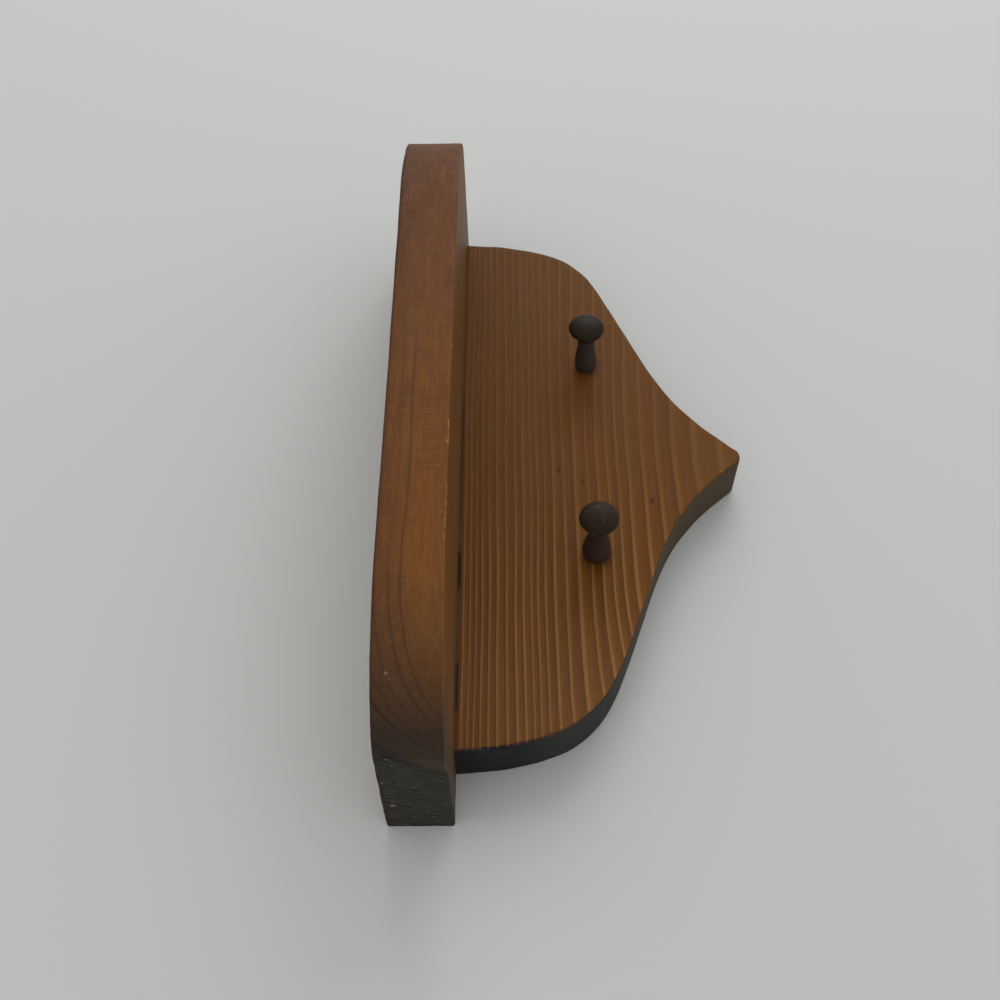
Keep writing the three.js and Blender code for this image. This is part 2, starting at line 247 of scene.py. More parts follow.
def board(side, columns, thickness, ease, edge_steps):
    """A board between two like faces: its points (x, drop, depth) and quads, and for each point how worn it
    is, how sawn it is, and which way the outline faces there, times sawn.

    side is the right half of its outline, from the first row to the last. Row r of a face is the
    straight line from (-x_r, drop_r) to (x_r, drop_r). The rim is the outline carried through a
    section: a quarter round, the straight edge, and the quarter round again, moved in along the
    outline's normal. ease gives each outline point the radius of its quarter rounds. A point is
    worn by sin(2 * turn) and sawn by sin(turn) on a quarter round, and sawn by 1 on the straight edge.
    """
    rows = len(side)
    across = np.linspace(-1, 1, columns + 1)
    first = np.stack([across * side[0, 0], np.full(columns + 1, side[0, 1])], 1)
    last = np.stack([-across * side[-1, 0], np.full(columns + 1, side[-1, 1])], 1)
    right = side[1:-1]
    left = (side[1:-1] * [-1, 1])[::-1]
    outline = np.concatenate([first, right, last, left])
    count = len(outline)
    normal = corner_normals(outline)
    radius = ease(outline)
    turn = np.linspace(0, np.pi / 2, ARRIS_STEPS)
    quarter_in = 1 - np.sin(turn)
    quarter_deep = 1 - np.cos(turn)
    middle = np.linspace(0, 1, edge_steps + 2)[1:-1]
    inset = np.concatenate([
        quarter_in[:, None] * radius,
        np.zeros((edge_steps, count)),
        quarter_in[::-1, None] * radius,
    ])
    depth = np.concatenate([
        quarter_deep[:, None] * radius,
        radius + middle[:, None] * (thickness - 2 * radius),
        thickness - quarter_deep[::-1, None] * radius,
    ])
    rings = len(inset)
    rim = outline[None] - inset[..., None] * normal[None]
    rim_points = np.concatenate([rim, depth[..., None]], 2).reshape(-1, 3)

    left_index = np.concatenate([[0], np.arange(count - 1, count - 2 - len(left), -1)])
    right_index = np.arange(columns, columns + rows)
    points = [rim_points]
    quads = [ring_quads(rings, count)]
    total = len(rim_points)
    for ring_start, flip in ((0, 1), ((rings - 1) * count, -1)):
        face = np.empty((rows, columns + 1), int)
        face[0] = ring_start + np.arange(columns + 1)
        face[-1] = ring_start + np.arange(columns + rows - 1 + columns, columns + rows - 2, -1)
        face[1:-1, 0] = ring_start + left_index[1:-1]
        face[1:-1, -1] = ring_start + right_index[1:-1]
        inner = (rows - 2) * (columns - 1)
        face[1:-1, 1:-1] = total + np.arange(inner).reshape(rows - 2, columns - 1)
        share = ((across + 1) / 2)[None, 1:-1, None]
        from_left = rim_points[face[1:-1, 0]][:, None]
        to_right = rim_points[face[1:-1, -1]][:, None]
        points.append((from_left * (1 - share) + to_right * share).reshape(-1, 3))
        total += inner
        corners = [face[:-1, :-1], face[:-1, 1:], face[1:, 1:], face[1:, :-1]]
        quads.append(np.stack(corners[::-flip], 2).reshape(-1, 4))

    points = np.concatenate(points)
    on_rim = np.arange(len(points)) < len(rim_points)
    round_part = np.concatenate([np.sin(2 * turn), np.zeros(edge_steps), np.sin(2 * turn)])
    sawn_part = np.concatenate([np.sin(turn), np.ones(edge_steps), np.sin(turn[::-1])])
    wear = np.zeros(len(points))
    wear[on_rim] = np.repeat(round_part, count)
    sawn = np.zeros(len(points))
    sawn[on_rim] = np.repeat(sawn_part, count)
    facing = np.zeros((len(points), 2))
    unit = normal / np.linalg.norm(normal, axis=1)[:, None]
    facing[on_rim] = np.tile(unit, (rings, 1)) * np.repeat(sawn_part, count)[:, None]
    return points, np.concatenate(quads), wear, sawn, facing


# Back board

# Its growth rings: how far down each ridge lies at the middle, how the lines bend and tilt, and how high
# the ridges stand
RING_DROPS = MM * np.array([
    -6, -4, -1.9, 0.2, 2.0, 4.1, 6, 8, 10.4, 13, 16.1, 19.1, 21.7, 24.3, 26.4, 28.9,
    31.8, 35.6, 39.6, 44.1, 47.6, 51.1, 54.4, 58, 63, 68.2, 74.1, 81.3, 90, 100,
])
RING_BEND = 0.0009 / MM
RING_BEND_DROP = 65 * MM
RING_TILT = 0.22
LEFT_RISE = 1.45 * MM
LEFT_RISE_DROP = 50 * MM
RING_WANDER = 0.3 * MM
RIDGE_HEIGHT = 0.1 * MM
RIDGE_LEAD = 0.1
RIDGE_FALL = 0.3
BRUSHED_HOLLOW = 0.1 * MM
SAW_DEPTH = 0.02 * MM

# How far the sawn outline stands outside the drawn one, in millimetres: all the way down, in bumps
# (drop, width, height), and in steps (from drop, to drop, height)
RIGHT_FULLER = 0.35
RIGHT_BUMPS = ((43, 9, 0.75), (78, 8, 0.6))
RIGHT_STEPS = ((48, 64, 0.7), (84, 96, -0.6))
LEFT_FULLER = 0.45
LEFT_BUMPS = ((36, 16, 0.4), (67, 8, -2.5))
NOSE_LONGER = 0.75 * MM
NOSE_LONGER_FROM = 82 * MM

# Places along the joint where the back board's arris is rounder, in millimetres: centre, width, amount
JOINT_GAPS = ((-8, 30, 0.5), (-42, 11, 1), (-90, 16, 0.7))


def ogee_side():
    """Right half of the back board: down the side and round the shoulder, along the hollow flank, both cubic
    curves, and round the nose, an arc."""
    turn_x = BACK_HALF - SHOULDER_INSET
    turn = np.array([-np.sin(TURN_ANGLE), np.cos(TURN_ANGLE)])
    nose = np.array([-np.sin(NOSE_ANGLE), np.cos(NOSE_ANGLE)])
    shoulder_end = np.array([turn_x, SHOULDER_DROP])
    nose_start = np.array([
        NOSE_RADIUS * np.cos(NOSE_ANGLE),
        BACK_DROP - NOSE_RADIUS * (1 - np.sin(NOSE_ANGLE)),
    ])
    shoulder = cubic(
        np.array([BACK_HALF, 0]),
        np.array([BACK_HALF - SIDE_TAPER * SIDE_LEAD, SIDE_LEAD]),
        shoulder_end - SHOULDER_LEAD * turn,
        shoulder_end,
        CURVE_STEPS,
    )
    flank = cubic(
        shoulder_end,
        shoulder_end + FLANK_LEAD * turn,
        nose_start - NOSE_LEAD * nose,
        nose_start,
        CURVE_STEPS,
    )
    angle = np.linspace(NOSE_ANGLE, np.arccos(NOSE_FLAT / NOSE_RADIUS), NOSE_STEPS)
    tip = np.stack([NOSE_RADIUS * np.cos(angle), BACK_DROP - NOSE_RADIUS * (1 - np.sin(angle))], 1)
    return np.concatenate([shoulder, flank[1:], tip[1:]])


def hand_sawn(x, drop):
    """The back board's outline as it was sawn: a little fuller in its shoulders, more on the right, hollower
    in the left flank, and longer in the nose. The rest of the board is drawn out evenly with its rim."""
    deep = drop / MM
    steps = sum(high * smoothstep(deep, start, end) for start, end, high in RIGHT_STEPS)
    right = RIGHT_FULLER + bumps(deep, RIGHT_BUMPS) + steps
    left = LEFT_FULLER + bumps(deep, LEFT_BUMPS)
    line = ogee_side()
    share = np.clip(x / np.interp(drop, line[:, 1], line[:, 0]), -1, 1)
    longer = NOSE_LONGER * smoothstep(drop, NOSE_LONGER_FROM, BACK_DROP)
    return x + MM * share * np.where(x > 0, right, left), drop + longer


def with_first_row(line):
    """The line without the points that the first row's arris would reach, past its corner."""
    return np.concatenate([line[:1], line[line[:, 1] > FIRST_ROW_GAP]])


def back_growth(x, drop, y):
    """Growth rings counted down the board, whole on each ridge. Their lines droop as x^2 to both ends, less
    to the left, and more further down."""
    below = np.clip(drop, 0, None)
    bend = RING_BEND * (below / RING_BEND_DROP) ** 3
    level = drop - bend * x ** 2 - RING_TILT * (y + BACK_THICKNESS)
    left_rise = smoothstep(x, -10 * MM, -60 * MM) - 0.35 * smoothstep(x, -60 * MM, -95 * MM)
    level = level + LEFT_RISE * left_rise * (below / LEFT_RISE_DROP) ** 1.5
    level = level + RING_WANDER * waviness(11, (x, 60 * MM), (drop, 25 * MM), (y, 30 * MM))
    return np.interp(level, RING_DROPS, np.arange(len(RING_DROPS)))


def ridge_profile(growth):
    """Height of the hard winter wood, 0 to 1: it rises quickly at each whole ring and falls away slowly."""
    phase = growth - np.floor(growth) + RIDGE_LEAD
    return np.exp(-(phase % 1) / RIDGE_FALL) + smoothstep(phase % 1, 1 - RIDGE_LEAD, 1)


def back_ease(outline):
    """Arris radius: small under the shelf, a little fuller in three places, and nibbled here and there."""
    x, drop = outline.T
    radius = EASE * (1 + 0.22 * waviness(21, (x, 14 * MM), (drop, 11 * MM)))
    under_shelf = smoothstep(drop, 2 * MM, 0) * (0.4 * bumps(x / MM, JOINT_GAPS) - 0.7)
    return np.clip(radius * (1 + under_shelf), *BACK_EASE_RANGE)


def make_back_board():
    """The back board. Its front is brushed: depth += ridge height * (1 - ridge profile), fading to the right,
    and a slow waviness. Its sawn edge is cut back along its normal by a small waviness."""
    side = with_first_row(respaced(ogee_side(), BACK_ROW_STEP, ARC_STEP))
    columns = int(2 * BACK_HALF / COLUMN_STEP)
    points, quads, wear, sawn, facing = board(side, columns, BACK_THICKNESS, back_ease, BACK_EDGE_STEPS)
    x, drop, depth = points.T
    x, drop = hand_sawn(x, drop)
    growth = back_growth(x, drop, depth - BACK_THICKNESS)
    front = 1 - smoothstep(depth, 0, 2.5 * EASE)
    near_end = 1 - 0.9 * smoothstep(x, -90 * MM, 75 * MM)
    hollow = RIDGE_HEIGHT * near_end * (1 - ridge_profile(growth))
    hollow = hollow + BRUSHED_HOLLOW * (1 + waviness(13, (x, 45 * MM), (drop, 22 * MM))) / 2
    depth = depth + front * hollow
    saw = SAW_DEPTH * (1 + waviness(14, (x, 11 * MM), (drop, 11 * MM), (depth, 9 * MM))) * sawn
    x = x - facing[:, 0] * saw
    drop = drop - facing[:, 1] * saw
    place = np.stack([x, depth - BACK_THICKNESS, UNDERSIDE - drop], 1)
    piece = mesh_from("ogee_back_board", place, quads)
    set_attributes(piece.data, wear=wear, sawn=sawn)
    carve(piece, pocket_cutter())
    x, y, z = points_of(piece.data).T
    set_attributes(piece.data, growth=back_growth(x, UNDERSIDE - z, y))
    return piece


# Routed pocket in the back, from the hanger's own size
POCKET_DEPTH = 3.6 * MM
POCKET_CORNER = 5 * MM
POCKET_END_ROOM = 2 * MM
POCKET_HEAD_ROOM = 1 * MM
POCKET_NAIL_ROOM = 9 * MM


def pocket_cutter():
    """A rounded slab: a stack of one round-cornered outline, closed at both ends by its own middle."""
    low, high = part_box("hanger")
    half = (high.x - low.x) / 2 + POCKET_END_ROOM - POCKET_CORNER
    top = high.z + POCKET_HEAD_ROOM - POCKET_CORNER
    bottom = low.z - POCKET_NAIL_ROOM + POCKET_CORNER
    angle = (np.arange(POCKET_SIDES) + 0.5) * TAU / POCKET_SIDES
    x = np.sign(np.cos(angle)) * half + POCKET_CORNER * np.cos(angle)
    z = np.where(np.sin(angle) > 0, top, bottom) + POCKET_CORNER * np.sin(angle)
    levels = [(0.02, -POCKET_DEPTH), (1, -POCKET_DEPTH), (1, 1 * MM), (0.02, 1 * MM)]
    middle_z = (top + bottom) / 2
    rings = [
        np.stack([x * size, np.full_like(x, y), middle_z + (z - middle_z) * size], 1)
        for size, y in levels
    ]
    return closed_stack("pocket_cutter", np.stack(rings))


def closed_stack(name, rings, sharp_angle=SHARP_ANGLE):
    """Rings of points joined into a tube, with each end closed across by quads of its own ring."""
    levels, count = rings.shape[:2]
    step = np.arange(count // 2 - 1)
    near = np.stack([step, step + 1, count - 2 - step, count - 1 - step], 1)
    near = near[near[:, 1] < near[:, 2]]
    far = near + (levels - 1) * count
    quads = np.concatenate([ring_quads(levels, count), near[:, ::-1], far])
    return mesh_from(name, rings.reshape(-1, 3), quads, sharp_angle)


# Shelf board

# Its growth rings: where they start to sink, how they curve, the levels of the inner ones, the spacing of
# the outer ones, and how far they stray from it
RING_FRONT = -79.3 * MM
RING_CURVE = 0.036 / MM
RING_CURVE_RUN = 22 * MM
SHELF_RINGS = MM * np.array([44, 47, 50.2, 53.2, 56.3, 59.6, 62.8, 66.9, 70.3, 73.9, 79.2, 84.5])
SHELF_RING_PITCH = 3.8 * MM
SHELF_RING_DRIFT = 0.3 * MM
SHELF_RING_WANDER = 0.25 * MM
RIPPLE = 1.1 * MM
FINE_RIPPLE = 0.6 * MM
RIPPLED_LEVELS = (76 * MM, 90 * MM)

# The ring that crosses the front edge, the heavy one, and the one past which the end grain is black
CROSSING_RING = 5
HEAVY_RING = 9
BLACK_RING = 11.2

# Lengths of the lower front arris that are rubbed bare
RUBBED_RUNS = MM * np.array([(-74, -52), (-41, -26), (-5.5, 2.5)])

# Nicks in the left end's arrises, in millimetres from the back: centre, width, amount
NICKS = ((13, 1.2, 1), (9, 0.9, 0.8))

# How the fitted board differs from the drawn one: shorter, shifted to the left, and thicker, in millimetres,
# above and below, more to the right, and in the left end's back corner
SHELF_SHORT = 0.7 * MM
SHELF_SHIFT = 0.65 * MM
SWELL_OVER = 0.15
SWELL_OVER_RIGHT = 0.45
SWELL_CORNER = 1.1
SWELL_UNDER = 0.25
SWELL_UNDER_RIGHT = 0.45

# Depths that planing, brushing and tearing leave
PLANED_HOLLOW = 0.07 * MM
PLANED_WAVE = 0.06 * MM
RIM_WAVE = 0.03 * MM
RIM_TEAR = 0.09 * MM


def shelf_side():
    """Right half of the shelf board: straight along the end, then a quarter ellipse to the front edge."""
    straight = SHELF_DEPTH - CORNER_DEPTH
    angle = np.linspace(0, np.pi / 2, CORNER_STEPS)
    x = SHELF_HALF - CORNER_RUN * (1 - np.cos(angle))
    drop = straight + CORNER_DEPTH * np.sin(angle)
    return np.concatenate([[[SHELF_HALF, 0]], np.stack([x, drop], 1)])


def shelf_fitted(x):
    """Places along the shelf as it was cut and fitted: a little short and a little to the left."""
    return x - SHELF_SHORT * x / (2 * SHELF_HALF) - SHELF_SHIFT


def shelf_swell(x, drop):
    """How far the shelf's top and underside stand out past the straight board: more to the right, and the
    top in the left end's back corner as well."""
    corner = smoothstep(x / MM, -95, -122) * smoothstep(drop / MM, 60, 0)
    over = SWELL_OVER + SWELL_OVER_RIGHT * smoothstep(x / MM, -20, 110) + SWELL_CORNER * corner
    under = SWELL_UNDER + SWELL_UNDER_RIGHT * smoothstep(x / MM, -40, 110)
    return over * MM, under * MM


def shelf_growth(x, y, z):
    """Growth rings counted upward. Going back from the front edge, a ring sinks as the square of the way,
    then in a straight line. In the end grain the rings are wavy."""
    back = np.clip(y - RING_FRONT, 0, None)
    sunk = RING_CURVE * (back ** 2 - np.clip(back - RING_CURVE_RUN, 0, None) ** 2)
    level = z + sunk + SHELF_RING_DRIFT * waviness(31, (x, 110 * MM), waves=5)
    level = level + SHELF_RING_WANDER * waviness(32, (x, 60 * MM), (y, 18 * MM), (z, 18 * MM))
    rippled = smoothstep(level, *RIPPLED_LEVELS)
    level = level + RIPPLE * rippled * waviness(33, (x, 60 * MM), (y, 11 * MM), (z, 7 * MM))
    level = level + FINE_RIPPLE * rippled * waviness(36, (x, 60 * MM), (y, 3 * MM), (z, 2.4 * MM))
    outer = np.clip(level - SHELF_RINGS[-1], 0, None) / SHELF_RING_PITCH
    outer = outer + 0.3 * np.clip(outer, 0, 1) * waviness(37, (outer, 2.6), waves=5)
    return np.interp(level, SHELF_RINGS, np.arange(len(SHELF_RINGS))) + outer


def shelf_ease(outline):
    """Arris radius, with small nicks where the shelf has been knocked."""
    x, drop = outline.T
    radius = EASE * (0.85 + 0.25 * waviness(41, (x, 16 * MM), (drop, 12 * MM)))
    radius = radius * (1 + 0.8 * bumps(drop / MM, NICKS) * (x < 0))
    return np.clip(radius, *SHELF_EASE_RANGE)


def make_shelf_board():
    """The shelf board. Both faces are hollowed between the ridges, except where the back board meets it, and
    swell outward. The sawn rim is cut back along its normal, most between the rings of the end grain."""
    side = with_first_row(respaced(shelf_side(), SHELF_ROW_STEP, ARC_STEP))
    columns = int(2 * SHELF_HALF / COLUMN_STEP)
    points, quads, wear, sawn, facing = board(side, columns, SHELF_THICKNESS, shelf_ease, SHELF_EDGE_STEPS)
    x, drop, depth = points.T
    x = shelf_fitted(x)
    growth = shelf_growth(x, -drop, SHELF_TOP - depth)
    ridge = ridge_profile(growth)
    on_face = 1 - sawn
    upper = depth < SHELF_THICKNESS / 2
    planed = PLANED_WAVE * (1 + waviness(34, (x, 50 * MM), (drop, 20 * MM))) / 2
    hollow = PLANED_HOLLOW * (1 - ridge) + planed
    clear = smoothstep(drop, BACK_THICKNESS, BACK_THICKNESS + 8 * MM)
    depth = depth + np.where(upper, hollow, -hollow * clear) * on_face
    over, under = shelf_swell(x, drop)
    share = depth / SHELF_THICKNESS
    depth = depth + share * under - (1 - share) * over
    end_on = np.abs(facing[:, 0])
    wavy = RIM_WAVE * (1 + waviness(35, (x, 3 * MM), (depth, 9 * MM)))
    cutback = (wavy + RIM_TEAR * (1 - ridge) * end_on) * sawn
    x = x - facing[:, 0] * cutback
    drop = drop - facing[:, 1] * cutback
    place = np.stack([x, -drop, SHELF_TOP - depth], 1)
    piece = mesh_from("round_cornered_shelf", place, quads)
    rubbed = wear ** 6 * (drop > 70 * MM) * ~upper * sum(
        smoothstep(x, start, start + 3 * MM) * smoothstep(x, end, end - 3 * MM) for start, end in RUBBED_RUNS
    )
    set_attributes(piece.data, wear=wear, sawn=sawn, end_grain=end_on, rubbed=rubbed)
    for side_name in ("left", "right"):
        carve(piece, countersink_cutter(side_name))
    x, y, z = points_of(piece.data).T
    set_attributes(piece.data, growth=shelf_growth(x, y, z))
    return piece


# Round work

# Shelf screws, measured down from the flat of the head
SCREW_ROOM = 0.3 * MM
SCREW_HEAD_RADIUS = 4 * MM
SCREW_SHANK_RADIUS = 2.1 * MM
SCREW_RIM = 0.4 * MM
SCREW_BEVEL = 0.12 * MM
SCREW_SEEN = 7 * MM
RECESS_REACH = 2.2 * MM
RECESS_HALF_WIDTH = 0.45 * MM
RECESS_DEPTH = 1.3 * MM
AXIS_RADIUS = 0.02 * MM

# Pegs: radii, and heights above the back board
PEG_HEAD = 6.35 * MM
RIM_HEIGHT = 20.1 * MM
HEAD_DOME = 2.8 * MM
HEAD_UNDERSIDE = 2.6 * MM
PEG_NECK = 3.1 * MM
NECK_START = 12.3 * MM
NECK_END = 14.6 * MM
PEG_SWELL = 4.7 * MM
SWELL_HEIGHT = 2.2 * MM
SHANK_LEAD = 3.9 * MM
PEG_FOOT = 4.1 * MM
PEG_BURIED = 1.5 * MM
NECK_BEAD = 0.4 * MM
BEAD_HEIGHT = 16.2 * MM

# How much slimmer each peg's swelling is, how far its head leans along the shelf and up, how worn the head's
# lower rim is, and how deep its dents and the marks of turning are
PEG_WAYS = {"left": (0, 0, 0.1 * MM), "right": (0.17, -0.3 * MM, 0.5 * MM)}
LOWER_RIM_WEAR = {"left": 1.4, "right": 0}
PEG_DENT = 0.22 * MM
TOOL_PITCH = 1.1 * MM
TOOL_DEPTH = 0.02 * MM
TURNED_WOBBLE = 0.05 * MM

# Hanger nails
NAIL_HEAD_RADIUS = 1.7 * MM
NAIL_HEAD_THICKNESS = 0.6 * MM
NAIL_RADIUS = 0.7 * MM
NAIL_SEEN = 1.5 * MM


def turned(name, profile, sides, sharp_angle=SHARP_ANGLE):
    """A profile of (radius, height) carried round Z: (r cos a, r sin a, h). Its ends have a small radius and
    are closed across."""
    angle = np.linspace(0, TAU, sides, endpoint=False)
    radius, height = np.asarray(profile, float).T
    rings = np.stack([
        radius[:, None] * np.cos(angle),
        radius[:, None] * np.sin(angle),
        np.repeat(height[:, None], sides, 1),
    ], 2)
    return closed_stack(name, rings, sharp_angle)


def placed(piece, centre, angle=0, axis="Z"):
    """Turns the piece and puts it at its centre, all in its mesh."""
    piece.data.transform(Matrix.Translation(centre) @ Matrix.Rotation(angle, 4, axis))
    piece.data.update()
    return piece


def screw_top(side_name):
    """The middle of a shelf screw's flat head."""
    node = f"shelf_screw_{side_name}"
    middle = middle_of(node)
    return (middle.x, middle.y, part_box(node)[1].z)


def countersink_cutter(side_name):
    """The screw head's own cone and rim, grown by the room round it and run out through the top."""
    wide = SCREW_HEAD_RADIUS + SCREW_ROOM
    narrow = SCREW_SHANK_RADIUS + SCREW_ROOM
    rim = -SCREW_RIM - SCREW_ROOM
    profile = [
        (AXIS_RADIUS, rim - wide + narrow),
        (narrow, rim - wide + narrow),
        (wide, rim),
        (wide, 2 * MM),
        (AXIS_RADIUS, 2 * MM),
    ]
    cutter = turned(f"countersink_cutter_{side_name}", profile, NAIL_SIDES)
    return placed(cutter, screw_top(side_name))


def peg_profile():
    """The turned peg from its buried end: a swelling foot, a taper to the neck, and a flattened head."""
    neck = np.array([PEG_NECK, NECK_START])
    swell = np.array([PEG_SWELL, SWELL_HEIGHT])
    lead = np.array([0, SHANK_LEAD])
    foot = np.array([[AXIS_RADIUS, -PEG_BURIED], [PEG_FOOT, -PEG_BURIED], [PEG_FOOT, 0]])
    flare = cubic(foot[-1], foot[-1] + [0.2 * MM, 0.5 * MM], swell - [0, 0.8 * MM], swell, 10)
    taper = cubic(swell, swell + lead, neck - lead, neck, 40)
    meet = np.pi / 4
    under = np.array([PEG_HEAD * np.cos(meet), RIM_HEIGHT - HEAD_UNDERSIDE * np.sin(meet)])
    neck_top = np.array([PEG_NECK, NECK_END])
    corner = np.array([PEG_NECK, under[1] - (under[0] - PEG_NECK) * HEAD_UNDERSIDE / PEG_HEAD])
    fillet = cubic(neck_top, (neck_top + 2 * corner) / 3, (under + 2 * corner) / 3, under, 24)
    lower = np.linspace(-meet, 0, 18)[1:, None]
    upper = np.linspace(0, np.pi / 2, 40)[1:-1, None]
    rim = np.concatenate([PEG_HEAD * np.cos(lower), RIM_HEIGHT + HEAD_UNDERSIDE * np.sin(lower)], 1)
    dome = np.concatenate([PEG_HEAD * np.cos(upper), RIM_HEIGHT + HEAD_DOME * np.sin(upper)], 1)
    crown = [[AXIS_RADIUS, RIM_HEIGHT + HEAD_DOME]]
    line = np.concatenate([foot, flare[1:], taper[1:], [neck_top], fillet[1:], rim, dome, crown])
    line = respaced(line, PEG_ROW_STEP, PEG_ARC_STEP)
    bead = NECK_BEAD * bell(line[:, 1], BEAD_HEIGHT, 0.5 * MM) * (line[:, 0] < PEG_NECK + 0.7 * MM)
    return line + np.stack([bead, np.zeros_like(bead)], 1)


def make_peg(side_name, seed):
    """The profile turned round the peg's axis, a little out of true, with the tool's fine grooves and small
    dents in its rim, leaning in proportion to the height."""
    piece = turned(f"turned_peg_{side_name}", peg_profile(), PEG_SIDES)
    x, y, height = points_of(piece.data).T
    radius = np.hypot(x, y)
    angle = np.arctan2(y, x)
    uneven = TURNED_WOBBLE * waviness(seed, (height, 4 * MM), (np.cos(angle), 1.2), (np.sin(angle), 1.2))
    tool = TOOL_DEPTH * np.cos(TAU * height / TOOL_PITCH) * smoothstep(height, 1 * MM, 2 * MM)
    rim = bell(height, RIM_HEIGHT, 0.9 * MM)
    dents = PEG_DENT * rim * bell(np.cos(angle - seed), 1, 0.02)
    grown = radius + (uneven + tool - dents) * smoothstep(radius, 0, 2 * MM)
    slim, lean_x, lean_y = PEG_WAYS[side_name]
    grown = grown * (1 - slim * bell(height, SWELL_HEIGHT, 6 * MM))
    ratio = grown / radius
    up = height / RIM_HEIGHT
    set_points(piece.data, x * ratio + lean_x * up, y * ratio + lean_y * up, height)
    bead = bell(height, BEAD_HEIGHT, 0.6 * MM) * (radius < 4 * MM)
    lower_rim = smoothstep(-np.cos(angle), 0, 0.6) * bell(height, RIM_HEIGHT - 1.2 * MM, 1 * MM)
    wear = rim + 0.8 * bead + LOWER_RIM_WEAR[side_name] * lower_rim
    set_attributes(piece.data, wear=wear)
    middle = middle_of(f"peg_{side_name}")
    return placed(piece, (middle.x, back_low.y, middle.z), np.pi / 2, "X")


def make_screw(side_name, turn):
    """A countersunk head: its flat face, rim and cone turned, with a cross recess pressed into the face. Each
    arm tapers outward, and is sunk by the depth times a soft step in from its sides and from its end."""
    cone_end = -SCREW_RIM - SCREW_HEAD_RADIUS + SCREW_SHANK_RADIUS
    cone = np.array([
        [AXIS_RADIUS, -SCREW_SEEN],
        [SCREW_SHANK_RADIUS, -SCREW_SEEN],
        [SCREW_SHANK_RADIUS, cone_end],
        [SCREW_HEAD_RADIUS, -SCREW_RIM],
        [SCREW_HEAD_RADIUS, -SCREW_BEVEL],
    ])
    face = np.stack([np.linspace(SCREW_HEAD_RADIUS - SCREW_BEVEL, AXIS_RADIUS, 60), np.zeros(60)], 1)
    profile = np.concatenate([cone, face])
    piece = turned(f"countersunk_screw_{side_name}", profile, SCREW_SIDES, SCREW_SHARP_ANGLE)
    x, y, z = points_of(piece.data).T
    along = np.maximum(np.abs(x), np.abs(y))
    across = np.minimum(np.abs(x), np.abs(y))
    width = RECESS_HALF_WIDTH * (1 - 0.35 * along / RECESS_REACH)
    arm = smoothstep(width - across, 0, 0.14 * MM) * smoothstep(RECESS_REACH - along, 0, 0.25 * MM)
    sunk = RECESS_DEPTH * arm * (z > -MM / 100) * smoothstep(RECESS_REACH - along, -0.4 * MM, 1.6 * MM)
    set_points(piece.data, x, y, z - sunk)
    return placed(piece, screw_top(side_name), turn)


def make_nail(side_name):
    """A flat-headed nail: its head crowned a little, r^2 low at the rim, on a short length of shank."""
    node = f"hanger_nail_{side_name}"
    middle = middle_of(node)
    under_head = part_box(node)[1].y - NAIL_HEAD_THICKNESS
    r = np.linspace(NAIL_HEAD_RADIUS, AXIS_RADIUS, 24)
    crown = NAIL_HEAD_THICKNESS - 0.25 * MM * (r / NAIL_HEAD_RADIUS) ** 2
    profile = np.concatenate([
        [[AXIS_RADIUS, -NAIL_SEEN], [NAIL_RADIUS, -NAIL_SEEN], [NAIL_RADIUS, 0], [NAIL_HEAD_RADIUS, 0]],
        np.stack([r, crown], 1),
    ])
    piece = turned(f"flat_head_nail_{side_name}", profile, NAIL_SIDES)
    return placed(piece, (middle.x, under_head, middle.z), -np.pi / 2, "X")


# Shader helpers

def tint(red, green, blue):
    """A colour as a painter's chart gives it, 0 to 255, turned into the shader's own linear numbers."""
    share = np.array([red, green, blue]) / 255
    linear = np.where(share <= 0.04045, share / 12.92, ((share + 0.055) / 1.055) ** 2.4)
    return (*linear.tolist(), 1.0)


class Field:
    """A node's output: a number, place or colour that changes over the surface. A number can have another
    one or a plain one added to it, taken from it or multiplied with it, or be taken from a plain one."""

    def __init__(self, tree, socket):
        self.tree = tree
        self.socket = socket

    def __add__(self, other):
        return calc("ADD", self, other)

    def __sub__(self, other):
        return calc("SUBTRACT", self, other)

    def __rsub__(self, other):
        return calc("SUBTRACT", other, self)

    def __mul__(self, other):
        return calc("MULTIPLY", self, other)

    def __abs__(self):
        return calc("ABSOLUTE", self)


def feed(tree, socket, value):
    """Links a field to a socket, or sets a plain number or colour on it."""
    if isinstance(value, Field):
        tree.links.new(value.socket, socket)
    else:
        socket.default_value = value


def add_node(tree, kind, inputs=None, **settings):
    """A new node with its settings and its inputs."""
    node = tree.nodes.new(kind)
    for name, value in settings.items():
        setattr(node, name, value)
    for key, value in (inputs or {}).items():
        feed(tree, node.inputs[key], value)
    return node


def put(tree, kind, inputs=None, output=0, **settings):
    """A new node, as the field of one of its outputs."""
    return Field(tree, add_node(tree, kind, inputs, **settings).outputs[output])


def calc(operation, *values):
    """One step of arithmetic on fields and plain numbers."""
    tree = next(value.tree for value in values if isinstance(value, Field))
    return put(tree, "ShaderNodeMath", dict(enumerate(values)), operation=operation)


def vector_calc(operation, place, *values, output=0):
    """One step of arithmetic on places."""
    inputs = dict(enumerate((place, *values)))
    return put(place.tree, "ShaderNodeVectorMath", inputs, output, operation=operation)


def rise(value, low, high):
    """0 at low and before it, 1 at high and past it, with a soft rise between. low may be the larger one."""
    inputs = {"Value": value, "From Min": low, "From Max": high}
    return put(value.tree, "ShaderNodeMapRange", inputs, "Result", interpolation_type="SMOOTHSTEP")


def attribute(tree, name):
    """A number that the mesh carries on its points."""
    return put(tree, "ShaderNodeAttribute", output="Fac", attribute_name=name)


def object_place(tree):
    """Where a point of the piece lies, in metres."""
    return put(tree, "ShaderNodeTexCoord", output="Object")


